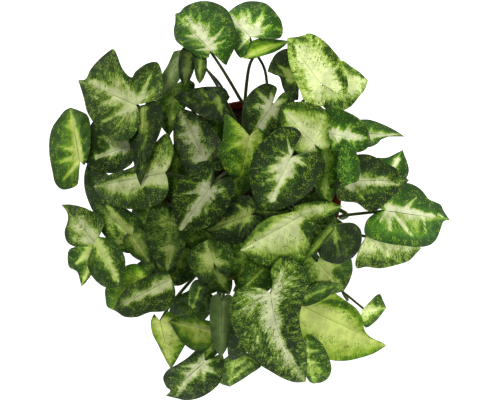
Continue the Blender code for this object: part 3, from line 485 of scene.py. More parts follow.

# %% [markdown]
# ## The blade as a surface
#
# A blade is bent in every direction at once: folded along the midrib, hanging at the tip and the
# lobes, wavy at the edge. Pulling points about by hand would never end, so the surface is a
# function: t runs from the sinus to the tip, s from edge to edge, and the result is a place in
# space. All leaves together follow a shallow dome, high and level in the middle and lower and
# steeper at the side. Their places were read as seen from one point above, the eye, so each is
# drawn in towards that eye by as much as it stands higher than the rim.

# %% The blade
EYE = (-0.7, -5.9, 1405.0)
POT_HEIGHT = 105.0
DOME_TOP = 193.0
DOME_FALL = 0.0038  # how fast the dome falls off from its middle
STEEPEST = 0.72     # the most that it may slope a leaf
SWAY = 6.0          # degrees that a leaf is tipped its own way
VEIN_CURVE = 0.25   # how far the side veins bow towards the stalk
HOLLOW = 0.8        # how far each half bends down again towards its edge
LOBE_DROOP = 0.3
TIP_HOOK = 0.9
HOOK_START = 0.86   # share of the length where the tip begins to hook down
WAVES = 11.0        # how quickly the edge rises and falls from the lobe to the tip
OTHER_EDGE = 2.1    # how far the right edge's waves lag behind the left edge's


def dome(x, y):
    """Height that a leaf over this plan place has before it settles."""
    return DOME_TOP - DOME_FALL * (x * x + y * y)


def blade(lf, z, tilt, t, s):
    """Points of a leaf's middle surface: t runs from sinus to tip, s across from edge to edge."""
    at, tip = np.array(lf.at, float), np.array(lf.tip, float)
    length = np.hypot(*(tip - at))
    ahead = (tip - at) / length
    across = np.array([-ahead[1], ahead[0]])
    edges = [edge_points(lf, 0), edge_points(lf, 1)]
    halves = [e[:, 1].max() for e in edges]
    lobe = max(4.0, -min(e[:, 0].min() for e in edges))
    q = np.abs(s)
    is_left = s >= 0
    edge = np.where(is_left[..., None], through(edges[0], t), through(edges[1], t))
    half = np.where(is_left, *halves)
    root = np.interp(t, *vein_roots(edges, length))
    eu, ev = edge[..., 0], np.maximum(edge[..., 1], 0)
    u = root + (eu - root) * q - VEIN_CURVE * ev * q * (1 - q)
    v = ev * q * np.where(is_left, 1, -1)
    share = np.abs(v) / half
    bow = 4 * lf.bow * (u / length) * (1 - u / length)
    plan = at + u[..., None] * ahead + (v + bow * (1 - q * q))[..., None] * across
    middle = (at + tip) / 2
    slope = 2 * DOME_FALL * middle
    slope *= min(1.0, STEEPEST / max(np.hypot(*slope), 1e-6))
    h = -((plan - at) @ slope)
    seed = sum(ord(c) * k for k, c in enumerate(lf.name, 3))
    pitch = lf.pitch + tilt[0] + SWAY * math.sin(seed * 1.7)
    roll = lf.roll + tilt[1] + SWAY * math.cos(seed * 2.3)
    h = h - math.tan(math.radians(pitch)) * u
    h = h + math.tan(math.radians(roll)) * v
    h = h + math.tan(math.radians(lf.fold)) * half * (share - HOLLOW * share ** 2)
    h = h - lf.droop * np.maximum(u, 0) ** 2 / length
    h = h - LOBE_DROOP * np.minimum(u, 0) ** 2 / lobe
    h = h - TIP_HOOK * np.maximum(u / length - HOOK_START, 0) ** 2 * length
    h = h + lf.wave * share ** 2 * np.sin(t * WAVES + seed + np.where(is_left, 0, OTHER_EDGE))
    zz = z + h
    draw_in = ((EYE[2] - zz) / (EYE[2] - POT_HEIGHT))[..., None]
    eye = np.array(EYE[:2])
    xy = eye + (plan - eye) * draw_in
    return np.concatenate([xy, zz[..., None]], axis=-1)


def blade_grid(rows, strips):
    """t and s of a blade's grid of points."""
    t = np.linspace(0, 1, rows + 1)
    s = np.linspace(-1, 1, 2 * strips + 1)
    return np.meshgrid(t, s, indexing="ij")


print("the head rises", DOME_TOP - POT_HEIGHT, "mm over the rim of the pot")

# %% [markdown]
# ## Leaves that rest on each other
#
# Real leaves push each other up until none passes through another. A physics run could do that,
# but it would shift them about in plan. Here each leaf is lifted straight up, from the lowest layer
# to the highest, just until it clears all that is placed below it. It may also tip a little, if
# that lets it rest lower.

# %% Settle the leaves
CLEARANCE = 2.3     # the least height between two blades
# What lies below a blade is looked for from the sky downwards
DOWN = Vector((0, 0, -1))
SKY = 900.0
# Tilts that a leaf tries, along and across, to come to rest lower
TILTS = ((0, 0), (-9, 0), (9, 0), (0, -9), (0, 9))
TILT_COST = 0.12    # mm that a leaf must come to lie lower for each degree of tilt
TEST_GRID = (12, 4)  # rows and strips of the coarse blades that are tested against each other
CLOSE_ENOUGH = 0.2  # a leaf that would be lifted by less is settled


def grid_tree(points):
    """The points of a grid in one row, and its faces cut into triangles."""
    rows, cols = points.shape[:2]
    index = np.arange(rows * cols).reshape(rows, cols)
    a, b = index[:-1, :-1].ravel(), index[1:, :-1].ravel()
    c, d = index[1:, 1:].ravel(), index[:-1, 1:].ravel()
    faces = np.vstack([np.column_stack([a, b, c]), np.column_stack([a, c, d])])
    return points.reshape(-1, 3), faces


def raise_needed(points, stack, placed):
    """How far a blade must rise to clear all that is placed below it."""
    need = -1e9
    if stack is None:
        return need
    flat = points.reshape(-1, 3)
    for p in flat:
        hit = stack.ray_cast(Vector((p[0], p[1], SKY)), DOWN)[0]
        if hit is not None:
            need = max(need, hit.z + CLEARANCE - p[2])
    own = BVHTree.FromPolygons(*[a.tolist() for a in grid_tree(points)])
    low, high = flat.min(0), flat.max(0)
    inside = placed[(placed[:, 0] > low[0]) & (placed[:, 0] < high[0])
                    & (placed[:, 1] > low[1]) & (placed[:, 1] < high[1])]
    for p in inside:
        hit = own.ray_cast(Vector((p[0], p[1], SKY)), DOWN)[0]
        if hit is not None:
            need = max(need, p[2] + CLEARANCE - hit.z)
    return need


def settle():
    """Each leaf's height and tilt, worked out from the lowest layer to the highest."""
    t, s = blade_grid(*TEST_GRID)
    settled = {}
    verts, faces, placed = [], [], np.zeros((0, 3))
    count = 0
    stack = None
    for lf in LEAVES:
        middle = (np.array(lf.at) + np.array(lf.tip)) / 2
        floor = float(dome(*middle)) - lf.low
        best = None
        for tilt in TILTS:
            z = floor
            for _ in range(3):
                lift = raise_needed(blade(lf, z, tilt, t, s), stack, placed)
                z = max(floor, z + lift)
                if abs(lift) < CLOSE_ENOUGH:
                    break
            cost = float(blade(lf, z, tilt, t, s)[..., 2].mean()) + TILT_COST * sum(map(abs, tilt))
            if best is None or cost < best[0]:
                best = (cost, z, tilt)
            if z <= floor + 0.5:
                break
        settled[lf.name] = best[1:]
        points = blade(lf, best[1], best[2], t, s)
        more, tris = grid_tree(points)
        verts.append(more)
        faces.append(tris + count)
        count += len(more)
        placed = np.vstack([placed, more])
        stack = BVHTree.FromPolygons(np.vstack(verts).tolist(), np.vstack(faces).tolist())
    return settled


settled = settle()
print(len(settled), "leaves between", round(min(v[0] for v in settled.values())), "and",
      round(max(v[0] for v in settled.values())), "mm high")

# %% [markdown]
# ## Room for a stalk
#
# On the way from its cane to its leaf a stalk has to pass the rim, the soil, and the blades and
# stalks of the other shoots. Blender could show two meshes crossing, but it wouldn't say by how
# much. So the gap is measured: from points along the stalk to the nearest blade, stalk, rim and
# soil, and the least of them counts.

# %% Measure the room round a stalk
RIM_RADIUS = 60.0
RIM_HALF = 1.5
SOIL_TOP = 92.0
BLADE_THICKNESS = 0.75
STALK_SEGMENTS = 4
PROBES = 64         # points along a stalk at which its gap is measured
LOOK_ROUND = 4      # how far round a stalk other blades are looked for
THIN_STALK, THICKER_BY, THICKEST_AT = 0.62, 0.011, 50


def stalk_radius(lf):
    """A larger leaf has a thicker stalk."""
    return THIN_STALK + THICKER_BY * min(math.dist(lf.at, lf.tip), THICKEST_AT)


def segments_gap(points, radius, others):
    """The least gap from the points to the stalks of other shoots."""
    a, b, r = others[:, :3], others[:, 3:6], others[:, 6]
    ab = b - a
    ap = points[:, None, :] - a[None]
    f = np.clip((ap * ab).sum(-1) / (ab * ab).sum(-1), 0, 1)
    away = np.linalg.norm(ap - f[..., None] * ab, axis=-1)
    return float((away - r - radius).min())


def shoot_trees(settled):
    """For each shoot, a search tree of all the blades that other shoots bear."""
    t, s = blade_grid(*TEST_GRID)
    surfaces = {lf.name: grid_tree(blade(lf, *settled[lf.name], t, s)) for lf in LEAVES}
    trees = {}
    for shoot in SHOOTS:
        verts, faces, count = [], [], 0
        for lf in LEAVES:
            if lf.shoot != shoot:
                v, f = surfaces[lf.name]
                verts.append(v)
                faces.append(f + count)
                count += len(v)
        trees[shoot] = BVHTree.FromPolygons(np.vstack(verts).tolist(), np.vstack(faces).tolist())
    return trees


def stalk_clearance(path, radius, others, tree):
    """The least gap from a stalk to other stalks, to the pot's rim, the soil and other blades."""
    g = np.linspace(0, 1, PROBES)[:, None] * STALK_SEGMENTS
    i = np.minimum(g.astype(int), STALK_SEGMENTS - 1)
    probe = path[i[:, 0]] + (path[i[:, 0] + 1] - path[i[:, 0]]) * (g - i)
    gap = segments_gap(probe, radius, others)
    reach = np.hypot(probe[:, 0], probe[:, 1])
    wall = RIM_RADIUS - RIM_HALF
    above = probe[:, 2] - POT_HEIGHT
    to_rim = np.hypot(reach - wall, np.maximum(above, 0))
    gap = min(gap, float(to_rim.min()) - radius - RIM_HALF)
    to_soil = np.where(reach > RIM_RADIUS + 3, SKY, probe[:, 2] - SOIL_TOP)
    gap = min(gap, float(to_soil.min()) - radius)
    for p in probe:
        near = tree.find_nearest(Vector(p), radius + LOOK_ROUND)
        if near[3] is not None:
            gap = min(gap, near[3] - radius - BLADE_THICKNESS / 2)
            if gap < -radius:
                break
    return gap


print("stalk of the longest leaf:", round(2 * stalk_radius(longest), 2), "mm thick")

# %% [markdown]
# ## Stalks that find their way
#
# Every stalk rises steeply from its cane and bends over to come in under its leaf. Drawing seventy
# such paths by hand isn't practical. So each is a smooth bend with a few seeded numbers, and it is
# tried again and again, straying further each time, until one keeps its distance.

# %% Route the stalks
CANE_RADIUS = 3.6
CANE_BOTTOM = 72.0
CANE_TOP = 112.0
STALK_TRIES = 420   # bends tried at most
FIRST_TRIES = 12    # bends tried before the first that keeps its distance is taken
STALK_GAP = 0.75    # that distance
STALK_START = 3     # how far below the cane's top the first stalk leaves it
RANK_STEP = 1.6     # and how much lower each of the next ones does
NEARER = 0.965      # draws the places of via in to where they are at a stalk's height
BOLDEST_AT = 120    # the try from which a bend may stray as far as it likes
ARCH = 40           # how high a stalk that passes given places may arch


def bend(rnd, wide, start, joint, ahead, via):
    """One seeded way from the cane to the leaf: the wider, the further it may stray."""
    out = joint[:2] - start[:2]
    turn = rnd.uniform(-1, 1) * math.pi * wide    # from which side it comes in under the leaf
    steep = rnd.uniform(0.3, 1.6)                 # and how steeply
    back = rnd.uniform(0.12, 0.45)                # over which share of its length
    rise = rnd.uniform(0.05, 0.6)                 # how far it first rises from the cane
    side = np.array([rnd.gauss(0, 1), rnd.gauss(0, 1)]) * (2 + 16 * wide)
    f = np.linspace(0, 1, STALK_SEGMENTS + 1)[:, None]
    if via:
        mids = []
        for n, place in enumerate(via, 1):
            share = n / (len(via) + 1)
            level = start[2] + (joint[2] - start[2]) * share
            arch = rise * ARCH * math.sin(share * math.pi)
            mids.append(np.array([*(place + side * 0.08), level + arch]))
        return through([start, *mids, joint], f[:, 0])
    flat = ahead[:2] / max(np.hypot(*ahead[:2]), 1e-6)
    come = np.array([flat[0] * math.cos(turn) - flat[1] * math.sin(turn),
                     flat[0] * math.sin(turn) + flat[1] * math.cos(turn), steep])
    come /= np.linalg.norm(come)
    span = np.linalg.norm(joint - start)
    p1 = start + np.array([*(out * 0.12 + side * 0.4), span * rise])
    p2 = joint - come * span * back
    p2[:2] += side * 0.3
    return ((1 - f) ** 3 * start + 3 * f * (1 - f) ** 2 * p1
            + 3 * f ** 2 * (1 - f) * p2 + f ** 3 * joint)


def route_stalks(settled):
    """Each leaf's stalk: the first of many seeded bends that clears the blades of other shoots."""
    trees = shoot_trees(settled)
    canes = {k: np.array([[*v, CANE_BOTTOM, *v, CANE_TOP + 2, CANE_RADIUS]], float)
             for k, v in SHOOTS.items()}
    routed = {k: [] for k in SHOOTS}
    routes = {}
    for lf in LEAVES:
        radius = stalk_radius(lf)
        joint, rib = blade(lf, *settled[lf.name], np.array([0.35, 0.75]), np.zeros(2))
        ahead = rib - joint
        ahead /= max(np.linalg.norm(ahead), 1e-6)
        others = [canes[k] for k in SHOOTS if k != lf.shoot]
        others += [np.array(r) for k, r in routed.items() if k != lf.shoot and r]
        others = np.vstack(others)
        rank = len(routed[lf.shoot]) // STALK_SEGMENTS
        start = np.array([*SHOOTS[lf.shoot], CANE_TOP - STALK_START - RANK_STEP * rank], float)
        out = joint[:2] - start[:2]
        start[:2] += out / max(np.hypot(*out), 1.0) * CANE_RADIUS * 0.4
        via = [np.array(EYE[:2]) + (np.array(place) - EYE[:2]) * NEARER for place in lf.via[::-1]]
        rnd = random.Random(sum(ord(c) * k for k, c in enumerate(lf.name, 7)))
        best = None
        for k in range(STALK_TRIES):
            path = bend(rnd, min(1.0, k / BOLDEST_AT), start, joint, ahead, via)
            gap = stalk_clearance(path, radius, others, trees[lf.shoot])
            length = float(np.linalg.norm(np.diff(path, axis=0), axis=1).sum())
            score = min(gap, STALK_GAP) * 10 - length / np.linalg.norm(joint - start)
            if best is None or score > best[0]:
                best = (score, gap, path)
            if gap >= STALK_GAP and k >= FIRST_TRIES:
                break
        routes[lf.name] = (best[2], radius, best[1])
        routed[lf.shoot] += [[*a, *b, radius] for a, b in zip(best[2][:-1], best[2][1:])]
    return routes


routes = route_stalks(settled)
print(len(routes), "stalks, the tightest", round(min(gap for _, _, gap in routes.values()), 2),
      "mm from its neighbours")

# %% [markdown]
# ## Leaf colours
#
# A variegated leaf isn't printed with one picture: the cream runs along the midrib and out between
# the side veins like feathers, breaks into specks, and ends in a dark margin. So each leaf carries
# a smooth value, "pale", that is high where its cream is and falls off towards the margin. The
# material adds fine specks to that value and only then turns it into colours, which keeps the
# border crisp however coarse the mesh is.

# %% The palettes
# deep green, green, the fringe of the cream, the cream itself
PALETTES = {
    "fresh": ("335a1c", "4f8422", "96ba3c", "eff5c2"),
    "star": ("2f4420", "477020", "8fae3a", "edf4bc"),
    "pale": ("36521c", "577d22", "a0ba48", "e3eda8"),
    "lime": ("3b5f1b", "5f8b20", "98b834", "d5e37c"),
    "deep": ("26361a", "34491b", "5f7a2e", "a6b85e"),
    "moss": ("304c1b", "4a6d22", "7f9a3a", "c0d078"),
    "back": ("5c783a", "6f8a46", "8aa05f", "b4c38a"),
}


def linear(code):
    """A hex colour as the linear numbers that a shader takes."""
    parts = [int(code[i:i + 2], 16) / 255 for i in (0, 2, 4)]
    return tuple(c / 12.92 if c < 0.04045 else ((c + 0.055) / 1.055) ** 2.4 for c in parts)


for name, codes in PALETTES.items():
    print(name, "cream as a shader takes it:", [round(c, 2) for c in linear(codes[-1])])

# %% [markdown]
# ## Nodes as lines of text
#
# A material is a net of small nodes. It could be plugged together by hand in the editor, but each
# leaf needs its own, so helpers make a node with its numbers and its feeds in one line. The
# patterns are built from soft noise at the place on the object, so they stay with the piece.

# %% Node helpers


def add_node(tree, kind, numbers, feeds):
    """A new node: fixed numbers for some of its inputs, outputs of other nodes for the rest."""
    made = tree.nodes.new("ShaderNode" + kind)
    for socket, number in numbers.items():
        made.inputs[socket].default_value = number
    for socket, source in feeds.items():
        tree.links.new(source, made.inputs[socket])
    return made


def object_place(tree):
    """The place on the object itself."""
    return tree.nodes.new("ShaderNodeTexCoord").outputs["Object"]


def clouds(tree, place, scale, detail):
    """Soft noise: the higher the scale, the finer its spots."""
    spots = add_node(tree, "TexNoise", {"Scale": scale, "Detail": detail}, {"Vector": place})
    return spots.outputs[0]


def ramp(tree, source, *stops):
    """Turn a value into colours: each stop is a position and its linear colour, in order."""
    made = add_node(tree, "ValToRGB", {}, {0: source})
    elements = made.color_ramp.elements
    for element, (position, colour) in zip(elements, (stops[0], stops[-1])):
        element.position = position
        element.color = (*colour, 1)
    for position, colour in stops[1:-1]:
        elements.new(position).color = (*colour, 1)
    return made.outputs[0]


def add_bump(tree, surface, source, strength, distance):
    """Let a value stand for small heights that only the light sees."""
    bump = add_node(tree, "Bump", {"Strength": strength, "Distance": distance}, {"Height": source})
    tree.links.new(bump.outputs[0], surface.inputs["Normal"])


def sheen(surface, level, tint=(1, 1, 1)):
    """How strongly a surface mirrors the lamps, and in what colour."""
    surface.inputs["Specular IOR Level"].default_value = level
    surface.inputs["Specular Tint"].default_value = (*tint, 1)


print("materials so far:", [finish.name for finish in bpy.data.materials])

# %% [markdown]
# ## Specks and dots
#
# The specks of a real leaf are cells that have kept or lost their green. They lie where green and
# cream meet, round between the veins and drawn out along them. Painting them would need a picture
# for every leaf. Two noises do it instead: one fixed to the place, which gives round grains, and
# one stretched along the rows of the blade, which follow the side veins. Where a value lies
# between two bounds, dots of another colour can be laid over the rest.

# %% Specks and dots
ALONG_VEINS = (7, 90, 1)


def grain(tree, source, scale, detail, amount, stretch=(1, 1, 1)):
    """Noise about zero, with amount for the whole span between its two ends."""
    turned = add_node(tree, "Mapping", {"Scale": stretch}, {"Vector": source})
    spots = add_node(tree, "TexNoise", {"Scale": scale, "Detail": detail, "Roughness": 0.6},
                     {"Vector": turned.outputs[0]})
    centred = add_node(tree, "Math", {1: amount, 2: -amount / 2}, {0: spots.outputs[0]})
    centred.operation = "MULTIPLY_ADD"
    return centred.outputs[0]


def combine(tree, a, b, how="ADD"):
    """Two values added, or joined in another way."""
    both = add_node(tree, "Math", {}, {0: a, 1: b})
    both.operation = how
    return both.outputs[0]


def ranged(tree, source, low, high, to_low, to_high):
    """Take a value from one span to another, with soft ends."""
    span = add_node(tree, "MapRange", {"From Min": low, "From Max": high, "To Min": to_low,
                                       "To Max": to_high}, {"Value": source})
    span.interpolation_type = "SMOOTHSTEP"
    return span.outputs[0]


def laid_over(tree, colour, tint, amount, how="MIX"):
    """Lay a tint over a colour: tint and amount are numbers, or come from other nodes."""
    numbers, feeds = {}, {1: colour}
    for socket, given in ((0, amount), (2, tint)):
        plugged = isinstance(given, bpy.types.NodeSocket)
        (feeds if plugged else numbers)[socket] = given
    made = add_node(tree, "MixRGB", numbers, feeds)
    made.blend_type = how
    return made.outputs[0]


def flecked(tree, colour, value, dots, threshold, near, far, tint):
    """Lay dots of another colour where the value lies between near and far."""
    middle = (near + far) / 2
    zone = combine(tree, ranged(tree, value, near, middle, 0, 1),
                   ranged(tree, value, middle, far, 1, 0), "MULTIPLY")
    shown = combine(tree, zone, ranged(tree, dots, *threshold, 0, 1), "MULTIPLY")
    return laid_over(tree, colour, (*tint, 1), shown)


print("specks along the veins are drawn out", round(ALONG_VEINS[1] / ALONG_VEINS[0]), "times")

# %% [markdown]
# ## The leaf material
#
# Every leaf gets its own material, because its green and cream are its own. The roughened value
# runs through a ramp from the deep green of the margin to cream. Light dots are laid on the green
# and green dots on the cream, a dark line follows the midrib, and soft clouds keep large parts
# from looking flat. The underside is the same leaf under a grey-green haze. The blades let no
# light through, because they are fleshy and the lamps stand above them, on the camera's side.

# %% The leaf material
# What the margin's green and the cream are multiplied by at the ends and in the middle of the ramp
DEEPEST, DULL, BRIGHT = (0.72, 0.72, 0.72), (0.66, 0.76, 0.42), (0.86, 0.9, 0.76)
GROOVE_SHADE = (0.42, 0.55, 0.36, 1)
UNDERSIDE_HAZE = "6f8a52"
DOT_EDGE = 0.08     # how soft the edge of a dot is
WARP = 1.15         # draws the columns of a leaf together at its midrib
TOP_ROUGHNESS, UNDER_ROUGHNESS = 0.46, 0.62


def scaled(colour, by):
    return tuple(c * b for c, b in zip(colour, by))


def leaf_finish(name, m, half, under=False):
    """Green and cream for one leaf, whose blade is half as wide as half, in mm."""
    finish, surface = shader(name, (0.1, 0.2, 0.05), UNDER_ROUGHNESS if under else TOP_ROUGHNESS)
    tree = finish.node_tree
    place = object_place(tree)
    pale = tree.nodes.new("ShaderNodeAttribute")
    pale.attribute_name = "pale"
    uv = tree.nodes.new("ShaderNodeUVMap")
    uv.uv_map = "UVMap"
    rows = uv.outputs[0]
    value = combine(tree, pale.outputs["Fac"], grain(tree, place, 420, 2, 1.5 * m.speck))
    value = combine(tree, value, grain(tree, rows, 1, 2, 1.7 * m.speck, ALONG_VEINS))

    # Every colour is scaled by the leaf's tone, which is partly its own and partly painted light and
    # shade
    deep, green, fringe, cream = (tuple(v * m.tone for v in linear(c))
                                  for c in PALETTES[m.palette])
    colour = ramp(tree, value, (0.0, scaled(deep, DEEPEST)), (0.18, deep), (0.36, green),
                  (0.47, fringe), (0.58, scaled(cream, DULL)), (0.76, scaled(cream, BRIGHT)),
                  (0.97, cream))

    dots = combine(tree, grain(tree, place, 1150, 1, 1), grain(tree, place, 190, 1, 0.7))
    thin = 0.15 - 0.18 * m.speck
    between = tuple(0.3 * a + 0.7 * b for a, b in zip(green, fringe))
    colour = flecked(tree, colour, value, dots, (thin, thin + DOT_EDGE), -0.3, 0.6, between)
    colour = flecked(tree, colour, value, dots, (-thin, -thin - DOT_EDGE), 0.44, 0.96, green)

    across = add_node(tree, "SeparateXYZ", {}, {0: rows})
    aside = add_node(tree, "Math", {1: 0.5}, {0: across.outputs["X"]})
    aside.operation = "PINGPONG"
    width = 0.5 * (0.5 / half) ** (1 / WARP)
    groove = ranged(tree, aside.outputs[0], 0.5 - width, 0.5 - 0.3 * width, 0, 0.55)
    colour = laid_over(tree, colour, GROOVE_SHADE, groove, "MULTIPLY")

    shade = ranged(tree, grain(tree, place, 130, 3, 1), -0.15, 0.15, 0.86, 1.14)
    colour = laid_over(tree, colour, shade, 1, "MULTIPLY")
    if under:
        colour = laid_over(tree, colour, (*linear(UNDERSIDE_HAZE), 1), 0.62)
    tree.links.new(colour, surface.inputs["Base Color"])
    add_bump(tree, surface, clouds(tree, place, 1500, 2), 0.16, 0.0004)
    sheen(surface, 0.14, (0.75, 0.9, 0.6))
    return finish


print("a leaf is as rough as", TOP_ROUGHNESS, "above and", UNDER_ROUGHNESS, "below")

# %% [markdown]
# ## What each leaf wears
#
# Every leaf is marked in its own way, so each has a line of its own. core is how far the cream
# reaches from the midrib, as a share of the half width; fingers is how much further it runs along
# the side veins, and right scales both on the right half; rib and vein lighten the veins
# themselves; speck is how strongly it is speckled, shift makes the whole leaf paler, and its tone
# lighter. That tone is partly the leaf's own and partly painted light and shade: low, as painted
# shade, on leaves inside the head, and high, as painted light, on the small low leaves that lie in
# the shadow of others. What a rule can't say is told by strokes, as a painter would lay them: from
# one place to another, how wide, and how strong, with a strength below zero for a green one. Their
# places are read in the picture's own steps, right and down from its corner.

# %% The markings of each leaf
# The second field is the leaf's tone: partly its own, partly painted light and shade
Marks = namedtuple("Marks", "palette tone core fingers veins rib vein speck shift right strokes",
                   defaults=(0.5, 0.2, 0.3, 0, 1, ()))
